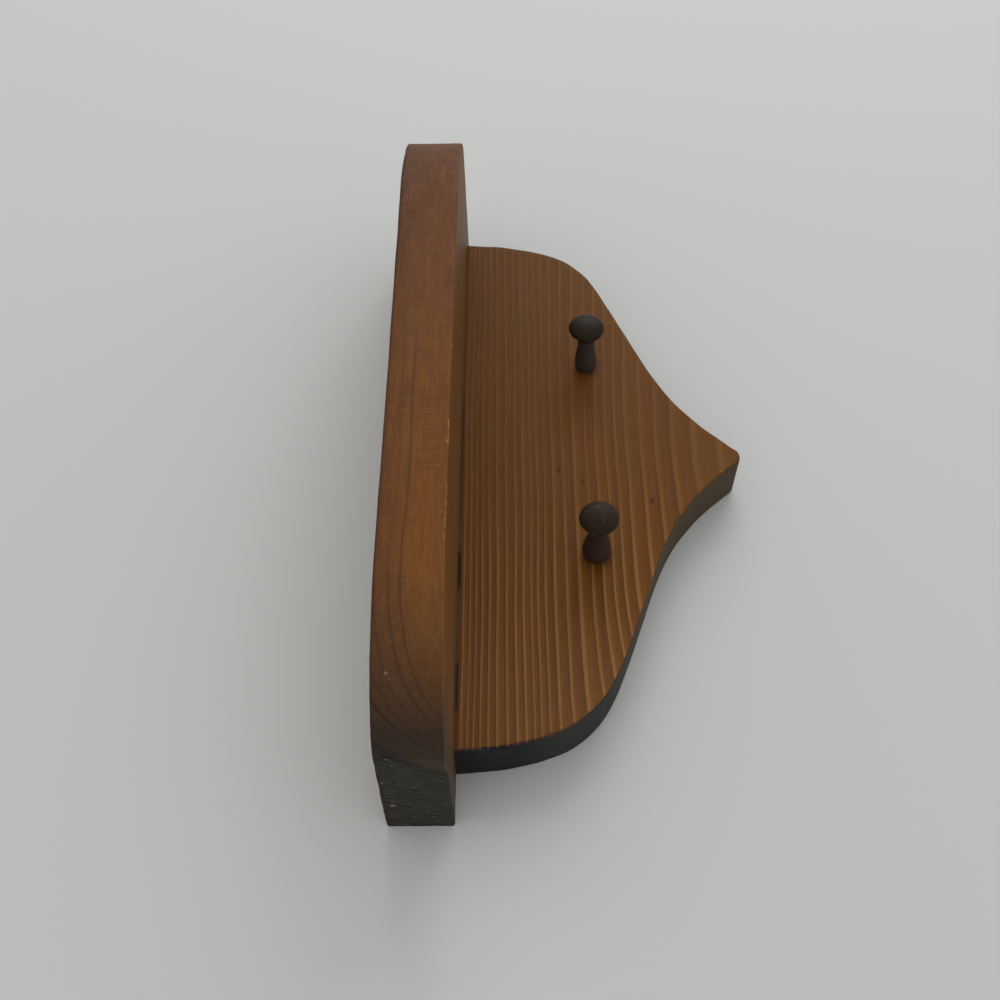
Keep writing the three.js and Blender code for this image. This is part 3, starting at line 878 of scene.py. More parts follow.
def along_axes(place):
    """A place's three coordinates."""
    node = add_node(place.tree, "ShaderNodeSeparateXYZ", {0: place})
    return [Field(place.tree, output) for output in node.outputs]


def stretched(place, lengths):
    """The place divided by a length on each axis, in metres or as fields."""
    divisor = put(place.tree, "ShaderNodeCombineXYZ", dict(zip("XYZ", lengths)))
    return vector_calc("DIVIDE", place, divisor)


def cloudy(place, lengths, detail=3.0, roughness=0.55, output="Fac"):
    """Noise from 0 to 1, whose cells have the given lengths."""
    inputs = {"Vector": stretched(place, lengths), "Scale": 1.0, "Detail": detail, "Roughness": roughness}
    return put(place.tree, "ShaderNodeTexNoise", inputs, output)


def torn_place(place, amount):
    """The place shifted about by noise of a third of a millimetre, so that marks get ragged rims."""
    noise = cloudy(place, (0.35 * MM, 0.35 * MM, 0.35 * MM), 1.0, 0.5, "Color")
    centred = vector_calc("SUBTRACT", noise, (0.5, 0.5, 0.5))
    return vector_calc("MULTIPLY_ADD", centred, (amount, amount, amount), place)


def oval_mark(place, centre, half_sizes):
    """A small soft-edged mark, from its centre and its half sizes along the three axes."""
    offset = vector_calc("SUBTRACT", place, centre)
    return rise(vector_calc("LENGTH", stretched(offset, half_sizes), output="Value"), 1.0, 0.35)


def paint(amount, under, over):
    """One colour laid over another by an amount from 0 to 1."""
    return put(amount.tree, "ShaderNodeMix", {0: amount, 6: under, 7: over}, 2, data_type="RGBA")


def coats(colour, *layers):
    """Coats laid over a colour one after another. Each has its amount, and its colour, from 0 to 255."""
    for amount, shade in layers:
        over = shade if isinstance(shade, Field) else tint(*shade)
        colour = paint(amount, colour, over)
    return colour


def shades(value, *stops):
    """A colour ramp, from (place, colour) pairs."""
    node = add_node(value.tree, "ShaderNodeValToRGB", {"Fac": value})
    ramp = node.color_ramp
    while len(ramp.elements) < len(stops):
        ramp.elements.new(0.5)
    for element, (place, colour) in zip(ramp.elements, stops):
        element.position = place
        element.color = tint(*colour)
    return Field(value.tree, node.outputs["Color"])


def new_group(name, inputs, build):
    """A shader group whose sockets are all plain numbers. build turns the place on the object and the group's
    inputs into its outputs, by name."""
    tree = bpy.data.node_groups.new(name, "ShaderNodeTree")
    for label, value in inputs.items():
        socket = tree.interface.new_socket(name=label, in_out="INPUT", socket_type="NodeSocketFloat")
        socket.default_value = value
    given = tree.nodes.new("NodeGroupInput").outputs
    made = build(object_place(tree), {label: Field(tree, given[label]) for label in inputs})
    for label in made:
        tree.interface.new_socket(name=label, in_out="OUTPUT", socket_type="NodeSocketFloat")
    end = tree.nodes.new("NodeGroupOutput")
    for label, value in made.items():
        feed(tree, end.inputs[label], value)
    return tree


def use(tree, group, **inputs):
    """Places a group in a material, and gives its outputs by name. An input's spaces are underscores here."""
    node = add_node(tree, "ShaderNodeGroup", node_tree=group)
    for name, value in inputs.items():
        feed(tree, node.inputs[name.replace("_", " ")], value)
    return {output.name: Field(tree, output) for output in node.outputs}


# Effects that several finishes share

def growth_rings(place, given):
    """Turns the counted growth rings into a phase from one winter to the next, a mask of winter wood,
    and a shade for each year. The winter wood lies either side of the whole ring."""
    rough_edge = cloudy(place, (9 * MM, 0.8 * MM, 0.8 * MM))
    counted = given["Growth"] + (rough_edge - 0.5) * given["Unevenness"] + given["Lead"]
    phase = calc("FRACT", counted)
    whole = {"W": calc("FLOOR", counted)}
    year = put(place.tree, "ShaderNodeTexWhiteNoise", whole, "Value", noise_dimensions="1D")
    winter = rise(phase, 0.0, 0.05) * rise(phase, 0.34, 0.14)
    return {"Phase": phase, "Winter": winter, "Year": year}


def wood_fibre(place, given):
    """Long fibres along X: fine streaks, broad clouds in the stain, and short dark flecks."""
    short = cloudy(place, (2.6 * MM, 0.28 * MM, 0.28 * MM), 1.0)
    return {
        "Streak": cloudy(place, (given["Length"], given["Width"], given["Width"]), 4.0, 0.65),
        "Cloud": cloudy(place, (70 * MM, 18 * MM, 18 * MM)),
        "Fleck": rise(short, 0.64, 0.74),
    }


def worn_arris(place, given):
    """Where an arris has lost its stain: the wear number, broken up by patches and small grains."""
    patch = cloudy(place, [given["Patch"]] * 3, 2.0)
    grain = cloudy(place, (2.2 * MM, 0.7 * MM, 0.7 * MM))
    strength = patch + (grain - 0.5) * 0.55 + given["Amount"] - 0.5
    return {"Mask": rise(strength * given["Wear"], 0.38, 0.56)}


def scattered_specks(place, given):
    """Small pale specks, or dashes drawn out along Z: the middles of scattered cells."""
    spacing = given["Spacing"]
    cells = {"Vector": stretched(place, (spacing, spacing, spacing * given["Drawn out"])), "Scale": 1.0}
    cell = add_node(place.tree, "ShaderNodeTexVoronoi", cells).outputs
    near = rise(Field(place.tree, cell["Distance"]), given["Size"] + 0.02, given["Size"])
    middle = {"Vector": Field(place.tree, cell["Position"])}
    pick = put(place.tree, "ShaderNodeTexWhiteNoise", middle, "Value", noise_dimensions="3D")
    return {"Mask": near * calc("LESS_THAN", pick, given["Share"])}


def saw_marks(place, given):
    """Fine cuts across the grain: bands along X that fade in and out."""
    cuts = cloudy(place, (given["Pitch"], 14 * MM, 14 * MM), 2.0, 0.5)
    patch = cloudy(place, (16 * MM, 7 * MM, 7 * MM), 2.0)
    return {"Mark": rise(cuts, 0.5, 0.62) * rise(patch, 0.4, 0.62)}


def tarnish(place, given):
    """Dull spots and fine wiping marks on plated metal."""
    spots = cloudy(place, [given["Spot"]] * 3, 4.0, 0.65)
    wiped = cloudy(place, (6 * MM, given["Wipe"], given["Wipe"]), 2.0)
    return {"Dull": rise(spots, 0.42, 0.66), "Wiped": wiped}


rings_effect = new_group("growth rings", {"Growth": 0.0, "Unevenness": 0.06, "Lead": 0.1}, growth_rings)
fibre_effect = new_group("wood fibre", {"Length": 30 * MM, "Width": 0.5 * MM}, wood_fibre)
arris_effect = new_group("worn arris", {"Wear": 0.0, "Patch": 22 * MM, "Amount": 0.5}, worn_arris)
speck_sizes = {"Spacing": 9 * MM, "Drawn out": 1.0, "Share": 0.2, "Size": 0.05}
specks_effect = new_group("specks", speck_sizes, scattered_specks)
saw_effect = new_group("saw marks", {"Pitch": 0.8 * MM}, saw_marks)
tarnish_effect = new_group("tarnish", {"Spot": 1.5 * MM, "Wipe": 0.12 * MM}, tarnish)


# Finishes

# How much each material shines, and how deep its grain and marks are
PINE_SHINE = 0.1
PINE_RELIEF = 0.08 * MM
PEG_SHINE = 0.045
PEG_RELIEF = 0.07 * MM
PLATE_RELIEF = 0.006 * MM


def new_finish(name):
    """An empty material with its Principled shader wired to the output."""
    material = bpy.data.materials.new(name)
    material.use_nodes = True
    tree = material.node_tree
    tree.nodes.clear()
    shader = tree.nodes.new("ShaderNodeBsdfPrincipled")
    output = tree.nodes.new("ShaderNodeOutputMaterial")
    tree.links.new(shader.outputs[0], output.inputs["Surface"])
    return material, tree, shader


def lay_on(shader, colour, roughness, height, depth):
    """Wires a finish to its shader. The height is in parts of the depth, in metres."""
    tree = colour.tree
    bump = put(tree, "ShaderNodeBump", {"Height": height, "Distance": depth, "Strength": 1.0})
    for name, value in (("Base Color", colour), ("Roughness", roughness), ("Normal", bump)):
        feed(tree, shader.inputs[name], value)


# Centres and half sizes of the chips that show bare wood on the shelf's edge
PALE_CHIPS = MM * np.array([
    (-107.1, -68.5, 63.1, 0.42),
    (-108.6, -67.6, 62.2, 0.22),
    (-43.7, -77, 61.9, 0.24),
    (-46.8, -77, 51.1, 0.26),
    (-43.4, -77, 50.2, 0.18),
    (-123.5, -31.4, 58.2, 0.45),
    (-123.5, -34.4, 66.5, 0.5),
    (-123.5, -17.3, 65, 0.75),
    (-123.5, -23.3, 58, 0.3),
    (-123.1, -1, 62.7, 0.7),
])


def stained_shelf_pine():
    """Red-brown stain over planed pine, near black where the end grain drank it."""
    material, tree, shader = new_finish("stained_shelf_pine")
    growth = attribute(tree, "growth")
    sawn = attribute(tree, "sawn")
    end_on = attribute(tree, "end_grain")
    wear = attribute(tree, "wear")
    place = object_place(tree)
    x, y, z = along_axes(place)
    rings = use(tree, rings_effect, Growth=growth, Unevenness=0.12, Lead=0.13)
    fibre = use(tree, fibre_effect, Length=26 * MM, Width=0.5 * MM)
    long_grain = 1 - sawn

    # parts of the board
    outer_wood = rise(growth, CROSSING_RING - 0.9, CROSSING_RING + 0.6)
    far_end = rise(x, -30 * MM, 90 * MM)
    last = rise(x, 62 * MM, 108 * MM)
    high_up = rise(z, SHELF_TOP - 7 * MM, SHELF_TOP - 1 * MM) * sawn
    near_corner = rise(x, -58 * MM, -98 * MM)
    low_down = rise(z, SHELF_TOP - 3 * MM, UNDERSIDE + 3 * MM)
    greyed = near_corner * rise(z, SHELF_TOP - 14 * MM, SHELF_TOP - 4 * MM)
    under = rise(z, UNDERSIDE + 2 * MM, UNDERSIDE + MM) * long_grain
    # painted light: the underside lighter and greyer towards the back board, as if lit by light bounced from
    # it
    underside_bounce_light = paint(rise(y, -70 * MM, -15 * MM), tint(113, 77, 39), tint(134, 106, 72))
    # painted shade on the underside by the joint
    shelf_joint_shadow = rise(y, -44 * MM, -22 * MM) * under

    # unevenness of the stain
    mottle = cloudy(place, (14 * MM, 3.4 * MM, 3 * MM), 4.0, 0.65)
    blotched = rise(mottle, 0.62, 0.36)
    warm = rise(cloudy(place, (11 * MM, 1.3 * MM, 1.3 * MM), 4.0, 0.7), 0.48, 0.66)
    grainy = rise(cloudy(place, (0.8 * MM, 0.5 * MM, 0.5 * MM), 2.0), 0.52, 0.72)
    streaked = rise(fibre["Streak"], 0.7, 0.34)

    # the rings show from the one that crosses the front edge outward, and one of them is heavy
    outside = rise(growth, CROSSING_RING - 1.6, CROSSING_RING)
    heavy = rise(abs(growth - HEAVY_RING), 0.7, 0.2)
    crossing = rise(abs(growth - CROSSING_RING), 0.5, 0.2)
    near_half = rise(x, 12 * MM, -8 * MM)
    shown = near_half * (near_corner * 0.6 + 0.4)
    yearly = shown * (rings["Year"] * 0.22 + 0.2) + heavy * 0.56
    yearly = yearly + crossing * (near_half - near_corner * 0.75) * 0.3
    ring_line = rings["Winter"] * outside * yearly
    cuts = use(tree, saw_effect, Pitch=0.34 * MM)["Mark"] * sawn

    # the stain deepens as the surface turns from long grain to end grain, most of all at the left end
    left_end = rise(x, -30 * MM, -70 * MM)
    turn = {"Value": end_on, "From Min": 0.72 - left_end * 0.6, "From Max": 0.8}
    turned_end = put(tree, "ShaderNodeMapRange", turn, "Result")
    by_end = rise(x, -98 * MM, -121 * MM) * (under + 0.25) * long_grain

    colour = coats(
        paint(fibre["Cloud"], tint(114, 66, 21), tint(132, 79, 28)),
        (outer_wood * 0.6, (107, 67, 34)),
        (far_end * 0.65, (85, 53, 32)),
        (last * 0.25, (82, 50, 26)),
        (high_up * (far_end * 0.3 + 0.28), (80, 46, 21)),
        (near_corner * (low_down * 0.18 + 0.1), (150, 108, 62)),
        (greyed * 0.16, (98, 82, 84)),
        # painted light bounced from the back board onto the underside
        (under * 0.6, underside_bounce_light),
        # painted shadow in the corner where the underside meets the back board
        (shelf_joint_shadow * 0.2, (60, 40, 22)),
        (blotched * 0.24, (80, 44, 19)),
        (warm * 0.3, (140, 92, 36)),
        (grainy * 0.3, (88, 50, 22)),
        (streaked * 0.3, (84, 49, 22)),
        (ring_line, (58, 32, 17)),
        (cuts * 0.24, (78, 43, 18)),
        (turned_end * 0.85, (46, 41, 36)),
        (by_end * 0.6, (66, 61, 54)),
    )

    # past one ring the end grain is black, with the late wood in its rings darker still
    fuzzy = growth + (mottle - 0.5) * 1.6 - low_down * 1.6
    past_ring = rise(fuzzy, BLACK_RING - 1.4, BLACK_RING + 0.7)
    at_end = rise(abs(x), SHELF_HALF - 1.6 * MM, SHELF_HALF - 0.9 * MM)
    black = past_ring * calc("MAXIMUM", rise(end_on, 0.6, 0.9), at_end)
    patchy = rise(cloudy(place, (5 * MM, 5 * MM, 3 * MM), 3.0, 0.6), 0.34, 0.6)
    late = rise(rings["Phase"], 0.0, 0.08) * rise(rings["Phase"], 0.6, 0.24)
    soaked = rise(abs(fuzzy - BLACK_RING), 2.0, 0.2)
    scratches = cloudy(place, (3 * MM, 0.35 * MM, 4 * MM), 3.0, 0.6)
    dashes = use(tree, specks_effect, Spacing=2.2 * MM, Drawn_out=2.2, Share=0.8, Size=0.09)["Mask"]
    end_colour = coats(
        paint(late * (patchy * 0.75 + 0.25), tint(63, 60, 55), tint(30, 31, 31)),
        (blotched * 0.35, (37, 38, 35)),
        (soaked * 0.6, (40, 35, 30)),
        (rise(scratches, 0.58, 0.7) * 0.4, (92, 84, 74)),
        (dashes * 0.6, (128, 122, 112)),
    )

    # wear and chips
    worn = use(tree, arris_effect, Wear=wear, Patch=26 * MM, Amount=0.34)["Mask"]
    rub = cloudy(place, (1.6 * MM, 0.6 * MM, 0.6 * MM), 3.0, 0.65)
    rubbed = rise(rub, 0.46, 0.62) * attribute(tree, "rubbed")
    specks = use(tree, specks_effect, Spacing=8 * MM, Share=0.3, Size=0.02)["Mask"]
    top_arris = rise(z, SHELF_TOP - 1.1 * MM, SHELF_TOP - 0.2 * MM) * rise(sawn, 0.1, 0.5)
    ragged = torn_place(place, 2.2 * MM)
    chips = [
        oval_mark(ragged, tuple(centre), (half, half, 1.3 * half))
        for *centre, half in PALE_CHIPS.tolist()
    ]
    colour = coats(
        colour,
        (black, end_colour),
        (worn * (0.6 - black * 0.45), (150, 112, 72)),
        (rubbed * 0.75, (196, 152, 102)),
        (specks * 0.35, (180, 150, 116)),
        (top_arris * 0.5, (56, 36, 30)),
        *((chip * 0.7, (190, 180, 166)) for chip in chips),
    )

    shader.inputs["Specular IOR Level"].default_value = PINE_SHINE
    gloss = fibre["Streak"] * 0.16 + 0.42 + black * 0.22
    height = fibre["Streak"] * 0.5 - cuts * 0.6 + rings["Winter"] * (end_on + 0.1) + scratches * black * 2.0
    lay_on(shader, colour, gloss, height, PINE_RELIEF)
    return material


# Pitch flecks in the back board, in millimetres: place along it, drop, half length, half width, and how dark
PITCH_FLECKS = (
    (-5.6, 34.1, 2.1, 0.9, 0.45),
    (-10.8, 42.4, 2.4, 0.8, 0.4),
    (-18.9, 65.4, 1.7, 1.2, 0.6),
)

# Radius of the painted shade round a peg's foot, and how far below the peg its middle lies
FOOT_SHADE = 6.4 * MM
FOOT_SHADE_BELOW = 1.2 * MM


def bare_pocket(x, y, z):
    """A mask of the routed pocket's walls and floor, from the hanger's own size."""
    low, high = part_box("hanger")
    middle = (low.z + high.z + POCKET_HEAD_ROOM - POCKET_NAIL_ROOM) / 2
    half = (high.z - low.z + POCKET_HEAD_ROOM + POCKET_NAIL_ROOM) / 2
    floor = rise(y, -POCKET_DEPTH - 0.6 * MM, -POCKET_DEPTH - 0.3 * MM)
    mouth = rise(y, -0.1 * MM, -0.4 * MM)
    inside_x = rise(abs(x), high.x + 3 * MM, high.x + 2.2 * MM)
    inside_z = rise(abs(z - middle), half + MM, half + 0.3 * MM)
    return floor * mouth * inside_x * inside_z


def joint_shade(x, z, cloud):
    """Painted shade in the corner under the shelf: a dark band along the joint, darker still in three places.
    """
    hidden = rise(x, -40 * MM, 110 * MM) * (SWELL_UNDER_RIGHT * MM)
    ragged = z + (cloud - 0.5) * (1.2 * MM) + hidden
    deepest_shade = rise(abs(x + 46 * MM), 10 * MM, 5 * MM) + rise(abs(x + 87 * MM), 10 * MM, 6 * MM)
    deepest_shade = deepest_shade + rise(abs(x), 34 * MM, 18 * MM) * 0.5
    return rise(ragged, UNDERSIDE - 1.6 * MM, UNDERSIDE - 1.0 * MM), deepest_shade


def stained_back_pine():
    """Golden brown stain over brushed pine: dark spring wood in the hollows, pale winter wood on the
    ridges."""
    material, tree, shader = new_finish("stained_back_pine")
    growth = attribute(tree, "growth")
    wear = attribute(tree, "wear")
    place = object_place(tree)
    x, y, z = along_axes(place)
    rings = use(tree, rings_effect, Growth=growth, Unevenness=0.09, Lead=RIDGE_LEAD)
    fibre = use(tree, fibre_effect, Length=34 * MM, Width=0.32 * MM)

    # a ridge is wide in one year and narrow in the next
    ridged = shades(
        rings["Phase"] * (rings["Year"] * 0.6 + 0.75),
        (0.0, (92, 52, 9)),
        (0.04, (135, 87, 33)),
        (0.17, (142, 94, 39)),
        (0.31, (118, 72, 18)),
        (0.62, (108, 63, 12)),
        (0.95, (96, 55, 9)),
    )
    # the far end is redder, with less between its ridges and hollows; the near end is greyed by a painted
    # sheen, and the wood by the shelf is darkened by painted shade
    far_end = rise(x + fibre["Cloud"] * (50 * MM), -95 * MM, 90 * MM)
    left_end = rise(x, -45 * MM, -100 * MM)
    left_ridges = rings["Winter"] * rise(x, -12 * MM, -55 * MM)
    by_nose = rise(z, UNDERSIDE - 72 * MM, UNDERSIDE - 90 * MM)
    shade_by_shelf = rise(z, UNDERSIDE - 60 * MM, UNDERSIDE)
    drift = cloudy(place, (60 * MM, 1.3 * MM, 1.3 * MM), 2.0)
    streaked = rise(fibre["Streak"], 0.66, 0.36)
    grainy = rise(cloudy(place, (0.9 * MM, 0.35 * MM, 0.35 * MM), 2.0), 0.5, 0.72)
    colour = coats(
        ridged,
        (far_end * 0.82, (103, 64, 22)),
        # painted sheen: the near end greyer and paler
        (left_end * 0.26, (142, 105, 76)),
        (left_ridges * 0.36, (176, 130, 78)),
        (by_nose * 0.35, (112, 74, 36)),
        # painted shade: darker towards the shelf
        (shade_by_shelf * 0.2, (88, 56, 20)),
        (rings["Year"] * 0.14, (90, 55, 16)),
        (rise(drift, 0.5, 0.66) * 0.2, (120, 86, 30)),
        (rise(drift, 0.5, 0.34) * 0.24, (122, 66, 28)),
        (streaked * 0.28, (70, 42, 14)),
        (grainy * 0.22, (150, 108, 54)),
        (fibre["Fleck"] * 0.18, (62, 36, 12)),
    )

    # pitch flecks, and painted shade round the pegs' feet
    on_front = rise(y, -BACK_THICKNESS + 2 * MM, -BACK_THICKNESS + 1.4 * MM)
    for along, drop, length, width, dark in PITCH_FLECKS:
        centre = (along * MM, -BACK_THICKNESS, UNDERSIDE - drop * MM)
        fleck = oval_mark(place, centre, (length * MM, 1.0, width * MM))
        colour = coats(colour, (fleck * on_front * dark, (58, 32, 16)))
    for peg in ("peg_left", "peg_right"):
        middle = middle_of(peg)
        foot = (middle.x, -BACK_THICKNESS, middle.z - FOOT_SHADE_BELOW)
        foot_shade = oval_mark(place, foot, (FOOT_SHADE, 2 * MM, FOOT_SHADE)) * on_front
        # painted shade round the peg's foot
        colour = coats(colour, (foot_shade * 0.5, (48, 38, 34)))

    # the sawn edge is near black, and the ridges carry their pale wood a little way over its arris
    teeth = rings["Winter"] * rise(wear, 0.2, 0.6) * rise(z, UNDERSIDE - 38 * MM, UNDERSIDE - 16 * MM)
    edge = rise(attribute(tree, "sawn"), 0.42, 0.6) * (1 - teeth * 0.75)
    along_edge = cloudy(place, (8 * MM, 1.6 * MM, 7 * MM))
    edge_colour = coats(
        paint(rise(along_edge, 0.35, 0.65), tint(34, 35, 40), tint(46, 46, 50)),
        (rise(along_edge, 0.56, 0.72) * 0.4, (66, 52, 48)),
        (rise(z, UNDERSIDE - 14 * MM, UNDERSIDE - 38 * MM) * 0.8, (58, 58, 54)),
        (rise(z, UNDERSIDE - 44 * MM, UNDERSIDE - 64 * MM), (78, 66, 50)),
    )

    # the back was wiped thinly, and the routed pocket is bare wood
    band, deepest_shade = joint_shade(x, z, fibre["Cloud"])
    behind = rise(y, -1.2 * MM, -0.4 * MM) * (1 - edge)
    thin = coats(
        paint(rings["Phase"], tint(150, 108, 66), tint(112, 74, 42)),
        (fibre["Cloud"], (104, 68, 38)),
    )
    raw = paint(rings["Winter"], tint(190, 152, 104), tint(150, 104, 62))
    reddened = rise(wear, 0.1, 0.5) * rise(fibre["Cloud"], 0.45, 0.6) * left_end * on_front
    worn = use(tree, arris_effect, Wear=wear, Patch=14 * MM, Amount=0.3)["Mask"]
    specks = use(tree, specks_effect, Spacing=7 * MM, Share=0.3, Size=0.025)["Mask"]
    colour = coats(
        colour,
        (edge, edge_colour),
        # painted shade of the gap under the shelf, darkest in three places
        (band * on_front * 0.9, paint(deepest_shade, tint(83, 51, 28), tint(32, 23, 16))),
        (behind, thin),
        (bare_pocket(x, y, z) * 0.85, raw),
        (reddened * 0.5, (104, 54, 40)),
        (worn * 0.6, (150, 112, 76)),
        (specks * 0.4, (186, 160, 116)),
    )

    shader.inputs["Specular IOR Level"].default_value = PINE_SHINE
    polish = rings["Winter"] * (1 - edge)
    gloss = 0.56 - polish * 0.12 + edge * 0.14
    calm = 1 - calc("MAXIMUM", far_end * 0.7, edge)
    height = rings["Winter"] * calm + fibre["Streak"] * 0.5 - fibre["Fleck"] * 0.35 + grainy * 0.25
    lay_on(shader, colour, gloss, height, PINE_RELIEF)
    return material


# Pale marks on the pegs' faces: place along the shelf, height, and half sizes
PEG_MARKS = {
    "left": MM * np.array([
        (-41.5, 1.75, 2.8, 0.14),
        (-38.2, -1.5, 0.5, 0.3),
        (-34.8, 1.2, 0.3, 0.5),
        (-38.3, 6.9, 0.16, 0.9),
        (-36.6, 3.2, 0.9, 0.35),
    ]),
    "right": MM * np.array([
        (43.2, 3.3, 0.5, 0.8),
        (40.3, 1.6, 0.3, 0.4),
    ]),
}


def blackened_peg_wood(side_name, reddish, shank_shade):
    """Near-black stain on a turned peg, with red wood showing through, its rim rubbed and its face marked."""
    material, tree, shader = new_finish(f"blackened_peg_{side_name}")
    place = object_place(tree)
    y = along_axes(place)[1]
    streak = cloudy(place, (0.5 * MM, 9 * MM, 0.5 * MM), 4.0, 0.6)
    turned_lines = cloudy(place, (12 * MM, 0.35 * MM, 12 * MM), 2.0)
    cloud = cloudy(place, (6 * MM, 8 * MM, 6 * MM), 2.0)
    bead_y = -BACK_THICKNESS - BEAD_HEIGHT
    shank = rise(y, bead_y - MM, bead_y + 2 * MM)
    worn = use(tree, arris_effect, Wear=attribute(tree, "wear"), Patch=3.5 * MM, Amount=0.36)["Mask"]
    specks = use(tree, specks_effect, Spacing=1.6 * MM, Share=0.5, Size=0.06)["Mask"]
    ragged = torn_place(place, 0.3 * MM)
    face_y = -BACK_THICKNESS - RIM_HEIGHT - HEAD_DOME
    marks = [
        oval_mark(ragged, (mark_x, face_y, mark_z), (half_x, 4 * MM, half_z))
        for mark_x, mark_z, half_x, half_z in PEG_MARKS[side_name].tolist()
    ]
    colour = coats(
        paint(streak, tint(31, 28, 21), tint(53, 45, 34)),
        (shank * 0.8, shank_shade),
        ((shank * 0.7 + cloud) * reddish, (66, 42, 35)),
        (worn * 0.6, (104, 90, 66)),
        (specks * 0.25, (104, 94, 76)),
        *((mark * 0.4, (100, 96, 82)) for mark in marks),
    )
    shader.inputs["Specular IOR Level"].default_value = PEG_SHINE
    lay_on(shader, colour, streak * 0.14 + 0.2, streak + turned_lines * 0.6, PEG_RELIEF)
    return material


def plated_metal(name, bright, dull, smooth, rough):
    """Plated steel with dull spots and wiping marks."""
    material, tree, shader = new_finish(name)
    film = use(tree, tarnish_effect, Spot=3 * MM, Wipe=0.3 * MM)
    shader.inputs["Metallic"].default_value = 1.0
    colour = paint(film["Dull"], tint(*bright), tint(*dull))
    gloss = film["Dull"] * (rough - smooth) + smooth
    lay_on(shader, colour, gloss, film["Wiped"] + film["Dull"], PLATE_RELIEF)
    return material


shelf_finish = stained_shelf_pine()
back_finish = stained_back_pine()
peg_finishes = {
    "left": blackened_peg_wood("left", 0.35, (63, 54, 48)),
    "right": blackened_peg_wood("right", 0.12, (72, 66, 64)),
}
zinc_finish = plated_metal("dull_zinc", (168, 162, 150), (122, 115, 102), 0.4, 0.58)
brass_finish = plated_metal("tarnished_brass", (190, 160, 98), (150, 118, 68), 0.36, 0.5)


# The shelf's pieces, each riding on the one body

def fit(piece, node, finish):
    """The piece stands for the CAD node and takes its finish."""
    piece.data.materials.clear()
    piece.data.materials.append(finish)
    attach(piece, "root")
    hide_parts(node)


PEG_SEED = 61
SCREW_TURN = 0.5

fit(make_back_board(), "back_board", back_finish)
fit(make_shelf_board(), "shelf_board", shelf_finish)
for number, side_name in enumerate(("left", "right")):
    peg = make_peg(side_name, PEG_SEED + number)
    screw = make_screw(side_name, SCREW_TURN + number)
    fit(peg, f"peg_{side_name}", peg_finishes[side_name])
    fit(screw, f"shelf_screw_{side_name}", zinc_finish)
    fit(make_nail(side_name), f"hanger_nail_{side_name}", zinc_finish)
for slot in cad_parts["hanger"].material_slots:
    slot.material = brass_finish


# Studio

# The camera, with its focal length in the picture's pixels
CAMERA_PLACE = Vector((-239.95, -334.39, 29.25)) * MM
CAMERA_TARGET = Vector((-18.01, -19.0, 34.27)) * MM
FOCAL_PIXELS = 1138.5
PICTURE_PIXELS = 1000
SENSOR = 36.0

# The table, with how far its opening is tucked under the shelf on the left and clears it on the right
TABLE_TUCK = 0.35 * MM
TABLE_CLEARANCE = 0.5 * MM
TABLE_GAP = 0.05 * MM
TABLE_REACH = 2.4
TABLE_STEP = 2 * MM
TABLE_GREY = (204, 205, 203)
OPEN_LIGHT = 0.67


def look_at(place, target, up):
    """A matrix at the place, facing the target, with its top towards up."""
    forward = (target - place).normalized()
    right = forward.cross(up).normalized()
    turned_up = right.cross(forward)
    turn = Matrix((right, turned_up, -forward)).transposed()
    return Matrix.Translation(place) @ turn.to_4x4()


def make_camera():
    """The camera, beyond the shelf's left end and in front of it, with the shelf's right end at its top."""
    lens = bpy.data.cameras.new("camera")
    lens.sensor_fit = "HORIZONTAL"
    lens.sensor_width = SENSOR
    lens.lens = FOCAL_PIXELS / PICTURE_PIXELS * SENSOR
    lens.clip_start = 10 * MM
    camera = new_object("camera", lens)
    camera.matrix_world = look_at(CAMERA_PLACE, CAMERA_TARGET, Vector((1, 0, 0)))
    bpy.context.scene.camera = camera


def half_opening(down, way, tuck):
    """Half of the rim of the table's opening, on the right for way 1 and on the left for way -1, from the top
    down. It follows the shelf's end and the sawn flank, moved inward by the tuck."""
    x, drop = hand_sawn(way * down[:, 0], down[:, 1])
    line = np.stack([x, UNDERSIDE - drop], 1)
    ahead = np.gradient(line, axis=0)
    inward = np.stack([ahead[:, 1], -ahead[:, 0]], 1) / np.linalg.norm(ahead, axis=1)[:, None]
    flank = line + way * tuck * inward
    end = shelf_fitted(way * SHELF_HALF) - way * tuck
    before_end = way * (SHELF_HALF - CORNER_DEPTH)
    over, under = shelf_swell(np.array([before_end, end]), 0)
    level = UNDERSIDE - under[1] + tuck
    shelf_end = [
        [before_end, SHELF_TOP + over[0] + TABLE_CLEARANCE],
        [end, SHELF_TOP + over[1] - tuck],
        [end, level],
        [flank[0, 0], level],
    ]
    return np.concatenate([shelf_end, flank])


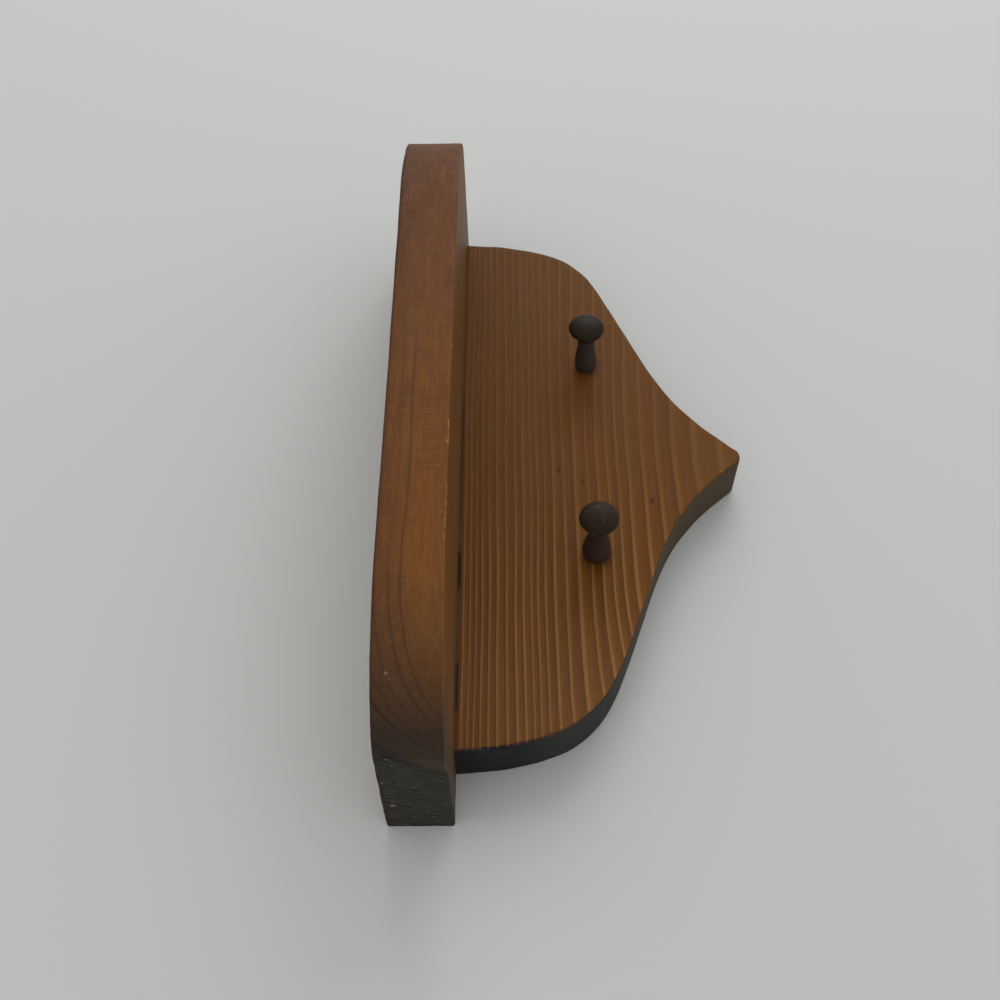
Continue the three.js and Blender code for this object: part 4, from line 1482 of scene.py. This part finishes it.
def make_table():
    """A wide sheet just behind the back, open where the shelf lies on it, so the back shows from behind.
    On the left, which is seen from the front, the opening's rim is tucked under the shelf's arris, and on
    the right it clears it. Each point of the opening is joined to one far out in line with it."""
    down = respaced(ogee_side(), TABLE_STEP, TABLE_STEP)
    down = down[(down[:, 1] > MM) & (down[:, 1] < BACK_DROP - MM)]
    right = half_opening(down, 1, -TABLE_CLEARANCE)
    tip = [[0, UNDERSIDE - BACK_DROP - NOSE_LONGER + TABLE_TUCK]]
    left = half_opening(down, -1, TABLE_TUCK)[::-1]
    loop = np.concatenate([right, tip, left])
    middle = np.array([0, (UNDERSIDE + SHELF_TOP) / 2])
    outward = loop - middle
    outward /= np.linalg.norm(outward, axis=1)[:, None]
    flat = np.concatenate([loop, middle + outward * TABLE_REACH])
    points = np.stack([flat[:, 0], np.full(len(flat), TABLE_GAP), flat[:, 1]], 1)
    mesh = bpy.data.meshes.new("pale_table")
    mesh.from_pydata(points.tolist(), [], ring_quads(2, len(loop)).tolist())
    mesh.update()
    if mesh.polygons[0].normal.y > 0:
        mesh.flip_normals()
    mesh.materials.append(pale_table_top())
    new_object("pale_table", mesh)


def pale_table_top():
    """A matt pale grey that is clear from behind."""
    material, tree, shader = new_finish("pale_table")
    shader.inputs["Roughness"].default_value = 0.75
    shader.inputs["Specular IOR Level"].default_value = 0.25
    shader.inputs["Base Color"].default_value = tint(*TABLE_GREY)
    clear = put(tree, "ShaderNodeBsdfTransparent")
    behind = put(tree, "ShaderNodeNewGeometry", output="Backfacing")
    seen = put(tree, "ShaderNodeMixShader", {0: behind, 1: Field(tree, shader.outputs[0]), 2: clear})
    output = next(node for node in tree.nodes if node.type == "OUTPUT_MATERIAL")
    feed(tree, output.inputs["Surface"], seen)
    return material


def make_sky():
    """Even white light, which the camera and reflections see as the table's pale grey."""
    world = bpy.data.worlds.new("even_light")
    world.use_nodes = True
    tree = world.node_tree
    tree.nodes.clear()
    path = add_node(tree, "ShaderNodeLightPath").outputs
    camera, glossy, through = [
        Field(tree, path[name]) for name in ("Is Camera Ray", "Is Glossy Ray", "Is Transmission Ray")
    ]
    seen = calc("MAXIMUM", camera, calc("MAXIMUM", glossy, through))
    light = put(tree, "ShaderNodeBackground", {"Color": (1, 1, 1, 1), "Strength": OPEN_LIGHT})
    pale = put(tree, "ShaderNodeBackground", {"Color": tint(*TABLE_GREY), "Strength": 1.0})
    mixed = put(tree, "ShaderNodeMixShader", {0: seen, 1: light, 2: pale})
    add_node(tree, "ShaderNodeOutputWorld", {"Surface": mixed})
    bpy.context.scene.world = world


def make_lamp(name, place, size, power):
    """A square soft box that faces the shelf."""
    lamp = bpy.data.lights.new(name, "AREA")
    lamp.shape = "SQUARE"
    lamp.size = size
    lamp.energy = power
    light = new_object(name, lamp)
    light.matrix_world = look_at(Vector(place), Vector((0, 0, 0)), Vector((0, 0, 1)))


make_camera()
make_table()
make_sky()
make_lamp("soft_box_front", place=(1.35, -1.05, -0.25), size=1.2, power=11.5)
make_lamp("soft_box_behind", place=(-0.5, 1.6, 0.6), size=1.1, power=14)
bpy.context.scene.view_settings.view_transform = "Standard"
